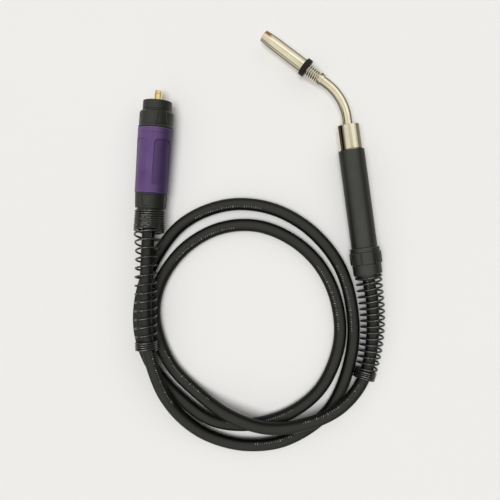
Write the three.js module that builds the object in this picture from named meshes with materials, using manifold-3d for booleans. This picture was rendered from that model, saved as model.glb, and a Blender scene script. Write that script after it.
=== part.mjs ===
// A straight-handled MIG welding torch with its cable and central connector, lying on a table.
// Millimetres, +Z up from the table. +Y runs along the handle towards the nozzle. While it is built,
// y = 0 is the front rim of the body tube; at the end the whole model moves so that the origin lies
// under the middle of the torch itself, which is everything but the cable and what is on its far end.
import * as THREE from 'three';
import { mergeVertices } from 'three/addons/utils/BufferGeometryUtils.js';
import Module from 'manifold-3d';

const wasm = await Module();
wasm.setup();

// ---- clearances -------------------------------------------------------------------------------
const SEAT = 0.3; // between two faces that seat on each other
const FIT = 0.3; // all round, between a spigot and its bore
const CABLE_EASE = 0.6; // all round, between the cable and a bore it passes through
const COIL_EASE = 1.4; // all round, between a strain-relief spring and the spigot inside it
const OVERRUN = 1; // how far a cutting tool runs past the face it cuts

// ---- number of sides --------------------------------------------------------------------------
const ROUND_LARGE = 24;
const ROUND_MEDIUM = 20;
const ROUND_SMALL = 12;
const NECK_SIDES = 16;
const GUIDE_SIDES = 6;
const CABLE_SIDES = 8;
const CABLE_STEPS = 76;
const HOLE_SIDES = 8;
const WIRE_SIDES = 4;
const STEPS_PER_TURN = 10;

// ---- body tube (the handle) and the chrome collar in its front end ---------------------------------
const BODY_RADIUS = 17.5;
const BODY_WALL = 2.4;
const BODY_LENGTH = 132;
const BODY_EDGE = 0.6;
const COLLAR_RADIUS = 15;
const COLLAR_LENGTH = 34;
const COLLAR_SPIGOT = 24;
const COLLAR_EDGE = 1;

// ---- swan neck: straight out of the collar, one bend, straight into the nozzle ----------------------
const NECK_RADIUS = 6.4;
const NECK_WALL = 1.9;
const NECK_TAIL = 50; // length inside the body, behind the front rim
const NECK_LEAD = 9.8; // straight length between the collar and the bend
const NECK_BEND_RADIUS = 70;
const NECK_BEND_ANGLE = 45;
const NECK_BEND_STEPS = 7;
const NECK_NOSE = 14.5; // straight length after the bend
const END_COLLAR_AT = 7.9; // from the end of the bend
const END_COLLAR_LENGTH = 3.7;
const END_COLLAR_RADIUS = 7.7;
const GUIDE_RADIUS = 2.6; // wire guide inside the neck
const GUIDE_BORE = 1.2;

// ---- nozzle end -------------------------------------------------------------------------------
const NOZZLE_SPRING_WIRE = 2;
const NOZZLE_SPRING_TURNS = 6;
const NOZZLE_SPRING_PITCH = 3.1;
const NOZZLE_SPRING_REAR = 8.9; // outer radius at the neck's end collar
const NOZZLE_SPRING_FRONT = 10.7; // outer radius at the insulator ring
const INSULATOR_RADIUS = 12.6;
const INSULATOR_LENGTH = 7.3;
const INSULATOR_SLEEVE_RADIUS = 7.6;
const INSULATOR_SLEEVE_LENGTH = 18;
const NOZZLE_LENGTH = 67;
const NOZZLE_REAR_RADIUS = 9.4;
const NOZZLE_WAIST_RADIUS = 9.05; // where the short cone of the tip begins
const NOZZLE_TIP_RADIUS = 7.8;
const NOZZLE_CONE_LENGTH = 14;
const NOZZLE_MOUTH_RADIUS = 6.6;
const NOZZLE_MOUTH_LENGTH = 8;
const NOZZLE_EDGE = 0.5;
const HOLDER_SPIGOT = 10;
const HOLDER_BORE = 1.8;
const HOLDER_FRONT_RADIUS = 5.2;
const HOLDER_FRONT_LENGTH = 12;
const TIP_RECESS = 6.6; // contact tip behind the nozzle's mouth
const TIP_RADIUS = 4;
const TIP_NOSE_RADIUS = 2.6;
const TIP_NOSE_LENGTH = 5;
const TIP_STUD_RADIUS = 3;
const TIP_STUD_LENGTH = 5;
const TIP_BORE = 0.6;
const DIFFUSER_LENGTH = 8;
const DIFFUSER_WALL = 2;
const GAS_HOLE_RADIUS = 0.9;
const GAS_HOLES = 4;
const GAS_HOLE_AT = 3; // from the diffuser's rear face

// ---- inside the body tube ---------------------------------------------------------------------
const BLOCK_AT = 27; // behind the front rim
const BLOCK_LENGTH = 31;
const BLOCK_THROUGH_BORE = 3.4;
const SCREW_AT = 38;
const SCREW_RADIUS = 2.2;
const SCREW_SLOT_WIDTH = 0.8;
const SCREW_SLOT_DEPTH = 1;
const CRIMP_RADIUS = 9.6;
const CRIMP_LENGTH = 26;
const CRIMP_WAIST_RADIUS = 5.5;
const CRIMP_WAIST_LENGTH = 8;
const CRIMP_STUD_LENGTH = 6;
const CRIMP_BORE = 1.8;

// ---- rear of the handle: end ring, ribbed nut, spring sleeve --------------------------------------
const END_RING_RADIUS = 19.8;
const END_RING_LENGTH = 6;
const END_RING_FRONT_SPIGOT = 14;
const END_RING_REAR_SPIGOT = 9.5;
const NUT_THREAD_RADIUS = 14; // the end ring's rear spigot, inside the nut
const NUT_LENGTH = 15.8;
const NUT_PAD_RADIUS = 21.3;
const NUT_ROOT_RADIUS = 20.2;
const NUT_RIB_RADIUS = 20.9;
const NUT_PADS = 8;
const NUT_PAD_ARC = 37; // degrees
const NUT_RIB_ARC = 3; // degrees
const NUT_TURN = 8; // degrees that the top pad lies to the right
const NUT_EDGE = 0.9;
const SLEEVE_RADIUS = 19.4;
const SLEEVE_LENGTH = 13.9;
const SLEEVE_EDGE = 0.7;
const SLEEVE_NECK_RADIUS = 12; // the sleeve's front spigot, clamped by the nut
const SLEEVE_NECK_LENGTH = 5.5;
const SLEEVE_SPIGOT = 7; // the rear spigot that holds the front spring

// ---- strain-relief springs ----------------------------------------------------------------------
const SPRING_WIRE = 2.4;
const SPRING_END_TURNS = 4; // close-wound, round the cable
const SPRING_END_PITCH = 2.8;
const SPRING_START = 0.05; // of a turn, so that a station of every turn touches the table
const FRONT_SPRING_WIDE = 18.7; // outer radius at the sleeve
const FRONT_SPRING_NARROW = 15.2; // outer radius round the cable
const FRONT_SPRING_SEATED_TURNS = 1;
const FRONT_SPRING_SEATED_PITCH = 3;
const FRONT_SPRING_OPEN_TURNS = 15;
const FRONT_SPRING_OPEN_PITCH = 8.5;
const FRONT_SPRING_STRAIGHT = 35; // length before it bends with the cable
const FRONT_SPRING_BEND_RADIUS = 240;
const SPRING_AXIS_POINTS = 12;
const REAR_SPRING_WIDE = 20.6;
const REAR_SPRING_NARROW = 15.1;
const REAR_SPRING_SEATED_TURNS = 9.5; // close-wound, round the collar's spigot
const REAR_SPRING_SEATED_PITCH = 3.1;
const REAR_SPRING_TAPER_TURNS = 3;
const REAR_SPRING_OPEN_TURNS = 13;
const REAR_SPRING_OPEN_PITCH = 11.4;
const REAR_SPRING_AXIS = [
  [-283, -62, 24.4],
  [-286.5, -82, 27.6],
  [-291, -105, 32.1],
  [-295.2, -130, 34.2],
  [-299.6, -160, 33.2],
  [-303.8, -190, 32.6],
  [-307.1, -219.7, 32.4],
  [-308.2, -232, 32.4],
];

// ---- cable: its route lies as in the photograph, two full turns beside the torch -------------------
const CABLE_RADIUS = 8.5;
const CABLE_ROUTE = [
  [1, -204, 20],
  [-4, -250, 17.6],
  [-13, -284, 16.8],
  [-22, -304, 17.6],
  [-39, -324.5, 22.2],
  [-69, -344, 29.2],
  [-113, -356, 28.8],
  [-164, -354, 28.6],
  [-211, -331, 27],
  [-253, -295, 11],
  [-280, -259, 8.9],
  [-293, -219, 8.9],
  [-294, -177, 8.9],
  [-277, -136, 8.9],
  [-239, -99, 8.9],
  [-189, -80, 8.9],
  [-138, -84, 8.9],
  [-92, -111, 8.9],
  [-60, -152, 8.9],
  [-45.4, -203, 8.9],
  [-49.8, -258, 8.9],
  [-82, -314, 8.9],
  [-129, -343, 8.9],
  [-187, -351, 8.9],
  [-236, -338, 8.9],
  [-278, -299, 8.9],
  [-306, -256, 8.9],
  [-317, -211, 8.9],
  [-312, -167, 8.9],
  [-291, -120, 8.9],
  [-241, -68, 8.9],
  [-179, -50, 8.9],
  [-121, -61, 8.9],
  [-71, -96, 8.9],
  [-36, -151, 8.9],
  [-26, -215, 8.9],
  [-36, -277, 8.9],
  [-75, -345, 8.9],
  [-138, -378, 8.9],
  [-194, -378, 8.9],
  [-242, -359, 9.5],
  [-272, -331, 16.8],
  [-293, -293, 27],
  [-303.5, -249, 31.5],
  [-305.5, -215, 32.2],
  [-301, -165, 32.6],
  [-294, -125, 32.4],
  [-287, -83, 27.6],
];

// ---- central connector: y = 0 is the housing's rear rim, +Y towards the pin ------------------------
const CONNECTOR_AT = [-274.8, -21.9];
const CONNECTOR_LEAN = -11.7; // degrees off the handle's direction
const HOUSING_LENGTH = 87;
const HOUSING_FRONT_RADIUS = 23.7;
const HOUSING_REAR_RADIUS = 22.2;
const HOUSING_WALL = 2.8;
const HOUSING_EDGE = 0.6;
const HOUSING_BAND = 6.9; // plain rim in front of the groove
const HOUSING_GROOVE = 0.9;
const HOUSING_GROOVE_DEPTH = 0.45;
const PANEL_COUNT = 4;
const PANEL_TURN = 40; // degrees from the top to the first panel's middle
const PANEL_WIDTH = 25;
const PANEL_FROM = 10;
const PANEL_TO = 70.8;
const PANEL_CORNER = 6;
const PANEL_DEPTH = 0.9; // at the panel's front edge; it fades to nothing at its rear
const SEAT_RING_AT = 46; // ring inside the housing that holds the plug
const SEAT_RING_LENGTH = 16;
const PLUG_RADIUS = 18;
const PLUG_REAR = 40;
const PLUG_SHANK_RADIUS = 14.4; // inside the coupling nut's lip
const PLUG_FLANGE_RADIUS = 17.3;
const PLUG_FLANGE_LENGTH = 4;
const PLUG_BOSS_RADIUS = 13.5;
const PLUG_BOSS_LENGTH = 5;
const COUPLING_GAP = 0.6; // between the housing and the coupling nut, which turns
const COUPLING_RADIUS = 22.7;
const COUPLING_FLARE = 0.8; // the rear edge stands this much prouder
const COUPLING_FLARE_LENGTH = 3;
const COUPLING_WIDE_LENGTH = 22.4;
const COUPLING_CHAMFER = 2;
const COUPLING_NOSE_RADIUS = 19.4;
const COUPLING_NOSE_LENGTH = 13.6;
const COUPLING_NOSE_EDGE = 1.2;
const COUPLING_WALL = 1.5; // of the nose, round the threaded ring
const COUPLING_LIP = 7;
const GRIP_COUNT = 4;
const GRIP_TURN = 26; // degrees from the top to the first grip's middle
const GRIP_WIDE = 18;
const GRIP_NARROW = 10;
const GRIP_FROM = 3.6; // from the nut's rear face
const GRIP_DEPTH = 0.8;
const RING_WALL = 1.5; // threaded brass ring inside the nut's nose
const PIN_RADIUS = 5.1;
const PIN_TAIL = 10; // length inside the plug
const PIN_LENGTH = 30.2; // in front of the plug's boss
const PIN_BORE = 2.6;
const PIN_NOSE_LENGTH = 4.7;
const PIN_NOSE_RADIUS = 4.9;
const PIN_NOSE_STUD = 5;
const PIN_NOSE_ROUNDING = 2;
const ORING_AT = 16.2; // in front of the plug's boss
const ORING_WIRE = 1;
const ORING_GROOVE_DEPTH = 1.1;
const SIGNAL_RADIUS = 1.7;
const SIGNAL_ACROSS = 4.4;
const SIGNAL_BELOW = 6.6;
const SIGNAL_LENGTH = 14;
const SIGNAL_PROUD = 6; // in front of the boss
const SIGNAL_TRAVEL = 3;
const REAR_COLLAR_LENGTH = 20;
const REAR_COLLAR_FRONT_RADIUS = 21.6;
const REAR_COLLAR_REAR_RADIUS = 20.4;
const REAR_COLLAR_SPIGOT = 5;
const REAR_COLLAR_COIL_SPIGOT = 9;
const REAR_GRIP_TURN = -10;
const REAR_GRIP_WIDE = 15;
const REAR_GRIP_NARROW = 9;
const REAR_GRIP_DEPTH = 0.7;
const REAR_GRIP_MARGIN = 2.6;
const HOUSING_SCREW_HEAD = 3.2;
const HOUSING_SCREW_HEAD_LENGTH = 1.8;
const HOUSING_SCREW_SHANK = 1.8;
const HOUSING_SCREW_LENGTH = 9;

// ---- sizes that follow from the ones above ---------------------------------------------------------
const bodyBore = BODY_RADIUS - BODY_WALL;
const neckBore = NECK_RADIUS - NECK_WALL;
const cableBore = CABLE_RADIUS + CABLE_EASE;
const springStart = END_COLLAR_AT + END_COLLAR_LENGTH + SEAT;
const insulatorAt = springStart + NOZZLE_SPRING_WIRE + NOZZLE_SPRING_TURNS * NOZZLE_SPRING_PITCH + SEAT;
const nozzleAt = insulatorAt + INSULATOR_LENGTH + SEAT;
const nozzleTip = nozzleAt + NOZZLE_LENGTH;
const sleeveEnd = insulatorAt + INSULATOR_LENGTH + INSULATOR_SLEEVE_LENGTH;
const holderFront = sleeveEnd + HOLDER_FRONT_LENGTH;
const endRingAt = -BODY_LENGTH - SEAT;
const nutAt = endRingAt - END_RING_LENGTH - SEAT;
const sleeveAt = nutAt - NUT_LENGTH - SEAT;
const sleeveRear = sleeveAt - SLEEVE_LENGTH;
const blockRear = -BLOCK_AT - BLOCK_LENGTH;
const crimpAt = blockRear - SEAT;
const cableFront = crimpAt - CRIMP_WAIST_LENGTH - CRIMP_LENGTH - SEAT;
const couplingAt = HOUSING_LENGTH + COUPLING_GAP;
const lipFront = couplingAt + COUPLING_LIP;
const flangeFront = lipFront + SEAT + PLUG_FLANGE_LENGTH;
const bossFront = flangeFront + PLUG_BOSS_LENGTH;
const couplingShoulder = couplingAt + COUPLING_WIDE_LENGTH;
const couplingFront = couplingShoulder + COUPLING_NOSE_LENGTH;
const plugBore = PLUG_RADIUS + FIT;

// ---- finishes -----------------------------------------------------------------------------------
function finish(color, roughness, metalness) {
  return new THREE.MeshStandardMaterial({ color, roughness, metalness });
}

const chrome = finish(0xd9d3a8, 0.12, 1);
const springSteel = finish(0xc9c6b4, 0.25, 1);
const brass = finish(0xe8c75a, 0.25, 1);
const copper = finish(0xc98a5b, 0.3, 1);
const blackPlastic = finish(0x3b3d38, 0.5, 0);
const insulatorBlack = finish(0x1a1512, 0.45, 0);
const purplePlastic = finish(0x5f4b7a, 0.42, 0);
const cableRubber = finish(0x3a3b39, 0.6, 0);
const blackSteel = finish(0x1d1d1c, 0.4, 0.6);
const darkRubber = finish(0x151515, 0.6, 0);
const whiteCeramic = finish(0xe6e2d6, 0.5, 0);

// ---- making solids --------------------------------------------------------------------------------
// A turned piece about +Y: its profile is a closed outline of [radius, y] points.
function turned(profile, segments = ROUND_LARGE) {
  const points = profile.map(([radius, y]) => new THREE.Vector2(radius, y));
  if (THREE.ShapeUtils.isClockWise(points)) points.reverse();
  points.push(points[0].clone());
  return new THREE.LatheGeometry(points, segments);
}

function rod(radius, from, to, segments = ROUND_SMALL) {
  return turned([[0, from], [radius, from], [radius, to], [0, to]], segments);
}

function ring(inner, outer, from, to, segments = ROUND_LARGE) {
  return turned([[inner, from], [outer, from], [outer, to], [inner, to]], segments);
}

// A flat outline of [x, y] points.
function outline(points) {
  return new THREE.Shape(points.map(([x, y]) => new THREE.Vector2(x, y)));
}

function roundSection(radius, sides, bore = 0) {
  const circle = (r) => Array.from({ length: sides }, (_, i) => {
    const angle = (2 * Math.PI * (i + 0.5)) / sides;
    return [r * Math.cos(angle), r * Math.sin(angle)];
  });
  const section = outline(circle(radius));
  if (bore > 0) section.holes.push(outline(circle(bore)));
  return section;
}

// The closed solid of a geometry, for cutting and joining.
function solid(geometry) {
  const bare = geometry.clone();
  bare.deleteAttribute('normal');
  bare.deleteAttribute('uv');
  const merged = mergeVertices(bare, 1e-4);
  const corners = [];
  for (let i = 0; i < merged.index.count; i += 3) {
    const [a, b, c] = [0, 1, 2].map((k) => merged.index.getX(i + k));
    if (a !== b && b !== c && c !== a) corners.push(a, b, c);
  }
  const vertProperties = Float32Array.from(merged.attributes.position.array);
  const triVerts = Uint32Array.from(corners);
  return new wasm.Manifold(new wasm.Mesh({ numProp: 3, vertProperties, triVerts }));
}

function geometryOf(manifold) {
  const { vertProperties, triVerts } = manifold.getMesh();
  const geometry = new THREE.BufferGeometry();
  geometry.setAttribute('position', new THREE.BufferAttribute(vertProperties, 3));
  geometry.setIndex(new THREE.BufferAttribute(triVerts, 1));
  geometry.computeVertexNormals();
  return geometry;
}

function cut(geometry, ...tools) {
  return geometryOf(tools.reduce((rest, tool) => rest.subtract(tool), solid(geometry)));
}

// A path that keeps its own stations: a sweep puts one section at each of them.
class Stations extends THREE.Curve {
  constructor(pointAt) {
    super();
    this.pointAt = pointAt;
  }

  getPoint(t) {
    return this.pointAt(t);
  }

  getUtoTmapping(u) {
    return u;
  }
}

function swept(section, path, steps) {
  return new THREE.ExtrudeGeometry(section, { steps, extrudePath: path });
}

function piece(parent, name, geometry, material) {
  const mesh = new THREE.Mesh(geometry, material);
  mesh.name = name;
  parent.add(mesh);
  return mesh;
}

// A pocket cut into a turned face: the outline, [across, along], is driven in from outside at an angle
// about the axis, and the core, a turned profile, is what stays under it.
function pocket(shape, angle, reach, core) {
  const prism = new THREE.ExtrudeGeometry(shape, { depth: reach, bevelEnabled: false, curveSegments: 4 });
  prism.rotateY(THREE.MathUtils.degToRad(angle));
  return solid(prism).subtract(solid(turned(core)));
}

function pockets(count, firstAngle, shape, reach, core) {
  return Array.from({ length: count }, (_, i) => pocket(shape, firstAngle + (360 * i) / count, reach, core));
}

// A hole drilled from the axis outwards, at an angle about it from the top towards +X.
const TOP = 0;
const BOTTOM = 180;

function drilled(radius, from, to, y, angle) {
  const drill = rod(radius, from, to, HOLE_SIDES);
  drill.rotateX(Math.PI / 2);
  drill.rotateY(THREE.MathUtils.degToRad(angle));
  drill.translate(0, y, 0);
  return solid(drill);
}

// ---- groups ---------------------------------------------------------------------------------------
const model = new THREE.Group();
const torch = new THREE.Group(); // what the origin is centred under
const cord = new THREE.Group(); // the cable, and what is on its far end
model.add(torch, cord);

const handle = new THREE.Group();
handle.position.z = NUT_PAD_RADIUS; // the ribbed nut lies on the table
torch.add(handle);

const bend = THREE.MathUtils.degToRad(NECK_BEND_ANGLE);
const bendStart = COLLAR_LENGTH + NECK_LEAD;
const nozzleEnd = new THREE.Group(); // y = 0 is the end of the neck's bend
nozzleEnd.position.x = -NECK_BEND_RADIUS * (1 - Math.cos(bend));
nozzleEnd.position.y = bendStart + NECK_BEND_RADIUS * Math.sin(bend);
nozzleEnd.rotation.z = bend;
handle.add(nozzleEnd);

const connector = new THREE.Group();
connector.position.set(...CONNECTOR_AT, HOUSING_FRONT_RADIUS); // the housing's rim lies on the table
connector.rotation.z = THREE.MathUtils.degToRad(CONNECTOR_LEAN);
cord.add(connector);

// ---- handle: body tube and collar -------------------------------------------------------------------
piece(handle, 'body_tube', turned([
  [bodyBore, -BODY_LENGTH],
  [BODY_RADIUS - BODY_EDGE, -BODY_LENGTH],
  [BODY_RADIUS, BODY_EDGE - BODY_LENGTH],
  [BODY_RADIUS, -BODY_EDGE],
  [BODY_RADIUS - BODY_EDGE, 0],
  [bodyBore, 0],
]), blackPlastic);

piece(handle, 'neck_collar', turned([
  [NECK_RADIUS + FIT, -COLLAR_SPIGOT],
  [bodyBore - FIT, -COLLAR_SPIGOT],
  [bodyBore - FIT, SEAT],
  [COLLAR_RADIUS - COLLAR_EDGE, SEAT],
  [COLLAR_RADIUS, SEAT + COLLAR_EDGE],
  [COLLAR_RADIUS, COLLAR_LENGTH - COLLAR_EDGE],
  [COLLAR_RADIUS - COLLAR_EDGE, COLLAR_LENGTH],
  [NECK_RADIUS + FIT, COLLAR_LENGTH],
]), chrome);

// ---- swan neck and the wire guide inside it ---------------------------------------------------------
// The middle line from a tail inside the body to a nose past the bend, with a station at each end of
// the straights and at equal angles round the bend.
function neckLine(tail, nose) {
  const centre = new THREE.Vector3(-NECK_BEND_RADIUS, bendStart, 0);
  const stations = [new THREE.Vector3(0, -tail, 0)];
  for (let i = 0; i <= NECK_BEND_STEPS; i += 1) {
    const angle = (bend * i) / NECK_BEND_STEPS;
    const arm = new THREE.Vector3(Math.cos(angle), Math.sin(angle), 0);
    stations.push(arm.multiplyScalar(NECK_BEND_RADIUS).add(centre));
  }
  const along = new THREE.Vector3(-Math.sin(bend), Math.cos(bend), 0);
  stations.push(stations.at(-1).clone().addScaledVector(along, nose));
  const last = stations.length - 1;
  const line = new Stations((t) => {
    const from = Math.min(Math.floor(t * last), last - 1);
    return stations[from].clone().lerp(stations[from + 1], t * last - from);
  });
  return { line, steps: last };
}

const neck = neckLine(NECK_TAIL, NECK_NOSE);
const neckSection = roundSection(NECK_RADIUS, NECK_SIDES, neckBore);
piece(handle, 'swan_neck', swept(neckSection, neck.line, neck.steps), chrome);

const holderRear = NECK_NOSE + SEAT - HOLDER_SPIGOT;
const guide = neckLine(NECK_TAIL, holderRear - SEAT);
const guideSection = roundSection(GUIDE_RADIUS, GUIDE_SIDES, GUIDE_BORE);
piece(handle, 'wire_guide', swept(guideSection, guide.line, guide.steps), springSteel);

piece(nozzleEnd, 'neck_end_collar',
  ring(NECK_RADIUS + FIT, END_COLLAR_RADIUS, END_COLLAR_AT, END_COLLAR_AT + END_COLLAR_LENGTH, ROUND_MEDIUM),
  chrome);

// ---- nozzle end: holder, contact tip, diffuser, insulator, spring, nozzle -----------------------------
const diffuserAt = sleeveEnd + SEAT;
const gasHolesAt = diffuserAt + GAS_HOLE_AT;
const tipSeat = holderFront - TIP_STUD_LENGTH - SEAT;
const gasHoleAngles = Array.from({ length: GAS_HOLES }, (_, i) => (360 * i) / GAS_HOLES);
function gasDrills(from, to) {
  return gasHoleAngles.map((angle) => drilled(GAS_HOLE_RADIUS, from, to, gasHolesAt, angle));
}

piece(nozzleEnd, 'tip_holder', cut(turned([
  [HOLDER_BORE, holderRear],
  [neckBore - FIT, holderRear],
  [neckBore - FIT, NECK_NOSE + SEAT],
  [NECK_RADIUS, NECK_NOSE + SEAT],
  [NECK_RADIUS, sleeveEnd],
  [HOLDER_FRONT_RADIUS, sleeveEnd],
  [HOLDER_FRONT_RADIUS, holderFront],
  [TIP_STUD_RADIUS + FIT, holderFront],
  [TIP_STUD_RADIUS + FIT, tipSeat],
  [HOLDER_BORE, tipSeat],
], ROUND_MEDIUM), ...gasDrills(0, NECK_RADIUS)), brass);

const tipFront = nozzleTip - TIP_RECESS;
piece(nozzleEnd, 'contact_tip', turned([
  [TIP_BORE, tipSeat + SEAT],
  [TIP_STUD_RADIUS, tipSeat + SEAT],
  [TIP_STUD_RADIUS, holderFront + SEAT],
  [TIP_RADIUS, holderFront + SEAT],
  [TIP_RADIUS, tipFront - TIP_NOSE_LENGTH],
  [TIP_NOSE_RADIUS, tipFront],
  [TIP_BORE, tipFront],
], ROUND_SMALL), copper);

const diffuserBore = HOLDER_FRONT_RADIUS + FIT;
piece(nozzleEnd, 'gas_diffuser', cut(
  ring(diffuserBore, diffuserBore + DIFFUSER_WALL, diffuserAt, diffuserAt + DIFFUSER_LENGTH, ROUND_MEDIUM),
  ...gasDrills(HOLDER_FRONT_RADIUS, NOZZLE_REAR_RADIUS)), whiteCeramic);

piece(nozzleEnd, 'nozzle_insulator', turned([
  [NECK_RADIUS + FIT, insulatorAt],
  [INSULATOR_RADIUS, insulatorAt],
  [INSULATOR_RADIUS, insulatorAt + INSULATOR_LENGTH],
  [INSULATOR_SLEEVE_RADIUS, insulatorAt + INSULATOR_LENGTH],
  [INSULATOR_SLEEVE_RADIUS, sleeveEnd],
  [NECK_RADIUS + FIT, sleeveEnd],
]), insulatorBlack);

const nozzleSpring = new Stations((t) => {
  const turn = t * NOZZLE_SPRING_TURNS;
  const outer = THREE.MathUtils.lerp(NOZZLE_SPRING_REAR, NOZZLE_SPRING_FRONT, t);
  const radius = outer - NOZZLE_SPRING_WIRE / 2;
  const angle = 2 * Math.PI * turn;
  const along = springStart + NOZZLE_SPRING_WIRE / 2 + turn * NOZZLE_SPRING_PITCH;
  return new THREE.Vector3(radius * Math.cos(angle), along, -radius * Math.sin(angle));
});
piece(nozzleEnd, 'nozzle_spring',
  swept(roundSection(NOZZLE_SPRING_WIRE / 2, WIRE_SIDES), nozzleSpring, NOZZLE_SPRING_TURNS * STEPS_PER_TURN),
  springSteel);

const nozzleBore = INSULATOR_SLEEVE_RADIUS + FIT;
piece(nozzleEnd, 'gas_nozzle', turned([
  [nozzleBore, nozzleAt],
  [NOZZLE_REAR_RADIUS - NOZZLE_EDGE, nozzleAt],
  [NOZZLE_REAR_RADIUS, nozzleAt + NOZZLE_EDGE],
  [NOZZLE_WAIST_RADIUS, nozzleTip - NOZZLE_CONE_LENGTH],
  [NOZZLE_TIP_RADIUS, nozzleTip - NOZZLE_EDGE],
  [NOZZLE_TIP_RADIUS - NOZZLE_EDGE, nozzleTip],
  [NOZZLE_MOUTH_RADIUS, nozzleTip],
  [NOZZLE_MOUTH_RADIUS, nozzleTip - NOZZLE_MOUTH_LENGTH],
  [nozzleBore, nozzleTip - NOZZLE_MOUTH_LENGTH - NOZZLE_CONE_LENGTH],
]), chrome);

// ---- inside the body: block, its screw, and the crimp on the cable -------------------------------------
const blockRadius = bodyBore - FIT;
const neckSocketEnd = -NECK_TAIL - SEAT;
piece(handle, 'neck_block', cut(turned([
  [BLOCK_THROUGH_BORE, blockRear],
  [blockRadius, blockRear],
  [blockRadius, -BLOCK_AT],
  [NECK_RADIUS + FIT, -BLOCK_AT],
  [NECK_RADIUS + FIT, neckSocketEnd],
  [BLOCK_THROUGH_BORE, neckSocketEnd],
], ROUND_MEDIUM), drilled(SCREW_RADIUS + FIT, 0, BODY_RADIUS, -SCREW_AT, TOP)), brass);

const screw = rod(SCREW_RADIUS, NECK_RADIUS + SEAT, blockRadius);
const slot = new THREE.BoxGeometry(2 * (SCREW_RADIUS + OVERRUN), 2 * SCREW_SLOT_DEPTH, SCREW_SLOT_WIDTH);
slot.translate(0, blockRadius, 0);
const neckScrew = piece(handle, 'neck_screw', cut(screw, solid(slot)), springSteel);
neckScrew.position.y = -SCREW_AT;
neckScrew.rotation.x = Math.PI / 2;

// A crimp sleeve: studRadius and studLength fit the bore that it screws into, at y = 0.
function crimp(studRadius, studLength) {
  const waist = -CRIMP_WAIST_LENGTH;
  return turned([
    [CRIMP_BORE, waist - CRIMP_LENGTH],
    [CRIMP_RADIUS, waist - CRIMP_LENGTH],
    [CRIMP_RADIUS, waist],
    [CRIMP_WAIST_RADIUS, waist],
    [CRIMP_WAIST_RADIUS, 0],
    [studRadius, 0],
    [studRadius, studLength],
    [CRIMP_BORE, studLength],
  ], ROUND_SMALL);
}

const frontCrimp = piece(handle, 'front_crimp', crimp(BLOCK_THROUGH_BORE - FIT, CRIMP_STUD_LENGTH), copper);
frontCrimp.position.y = crimpAt;

// ---- rear of the handle -------------------------------------------------------------------------------
piece(handle, 'body_end_ring', turned([
  [cableBore, endRingAt - END_RING_LENGTH - END_RING_REAR_SPIGOT],
  [NUT_THREAD_RADIUS, endRingAt - END_RING_LENGTH - END_RING_REAR_SPIGOT],
  [NUT_THREAD_RADIUS, endRingAt - END_RING_LENGTH],
  [END_RING_RADIUS, endRingAt - END_RING_LENGTH],
  [END_RING_RADIUS, endRingAt],
  [bodyBore - FIT, endRingAt],
  [bodyBore - FIT, endRingAt + END_RING_FRONT_SPIGOT],
  [cableBore, endRingAt + END_RING_FRONT_SPIGOT],
]), blackPlastic);

// The nut's outline: a broad pad, a groove, a narrow rib and a groove, repeated round the axis.
function nutOutline() {
  const pitch = 360 / NUT_PADS;
  const halfPad = NUT_PAD_ARC / 2;
  const halfRib = NUT_RIB_ARC / 2;
  const steps = [
    [-halfPad, NUT_PAD_RADIUS],
    [-halfPad / 2, NUT_PAD_RADIUS],
    [0, NUT_PAD_RADIUS],
    [halfPad / 2, NUT_PAD_RADIUS],
    [halfPad, NUT_PAD_RADIUS],
    [halfPad, NUT_ROOT_RADIUS],
    [pitch / 2 - halfRib, NUT_ROOT_RADIUS],
    [pitch / 2 - halfRib, NUT_RIB_RADIUS],
    [pitch / 2 + halfRib, NUT_RIB_RADIUS],
    [pitch / 2 + halfRib, NUT_ROOT_RADIUS],
    [pitch - halfPad, NUT_ROOT_RADIUS],
  ];
  const points = [];
  for (let i = 0; i < NUT_PADS; i += 1) {
    for (const [angle, radius] of steps) {
      const turn = THREE.MathUtils.degToRad(angle + i * pitch - NUT_TURN);
      points.push([-radius * Math.sin(turn), radius * Math.cos(turn)]);
    }
  }
  return outline(points);
}

const nutRear = nutAt - NUT_LENGTH;
const nutBlank = new THREE.ExtrudeGeometry(nutOutline(), { depth: NUT_LENGTH, bevelEnabled: false });
nutBlank.rotateX(Math.PI / 2);
nutBlank.translate(0, nutAt, 0);
const nutThreadEnd = endRingAt - END_RING_LENGTH - END_RING_REAR_SPIGOT - SEAT;
const nutEnvelope = turned([
  [SLEEVE_NECK_RADIUS + FIT, nutRear],
  [NUT_PAD_RADIUS - NUT_EDGE, nutRear],
  [NUT_PAD_RADIUS + FIT, nutRear + NUT_EDGE],
  [NUT_PAD_RADIUS + FIT, nutAt - NUT_EDGE],
  [NUT_PAD_RADIUS - NUT_EDGE, nutAt],
  [NUT_THREAD_RADIUS + FIT, nutAt],
  [NUT_THREAD_RADIUS + FIT, nutThreadEnd],
  [SLEEVE_NECK_RADIUS + FIT, nutThreadEnd],
]);
piece(handle, 'cable_nut', geometryOf(solid(nutBlank).intersect(solid(nutEnvelope))), blackPlastic);

const frontSpigotRadius = FRONT_SPRING_WIDE - SPRING_WIRE - COIL_EASE;
piece(handle, 'spring_sleeve', turned([
  [cableBore, sleeveRear - SLEEVE_SPIGOT],
  [frontSpigotRadius, sleeveRear - SLEEVE_SPIGOT],
  [frontSpigotRadius, sleeveRear],
  [SLEEVE_RADIUS - SLEEVE_EDGE, sleeveRear],
  [SLEEVE_RADIUS, sleeveRear + SLEEVE_EDGE],
  [SLEEVE_RADIUS, sleeveAt],
  [SLEEVE_NECK_RADIUS, sleeveAt],
  [SLEEVE_NECK_RADIUS, sleeveAt + SLEEVE_NECK_LENGTH],
  [cableBore, sleeveAt + SLEEVE_NECK_LENGTH],
]), blackPlastic);

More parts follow.
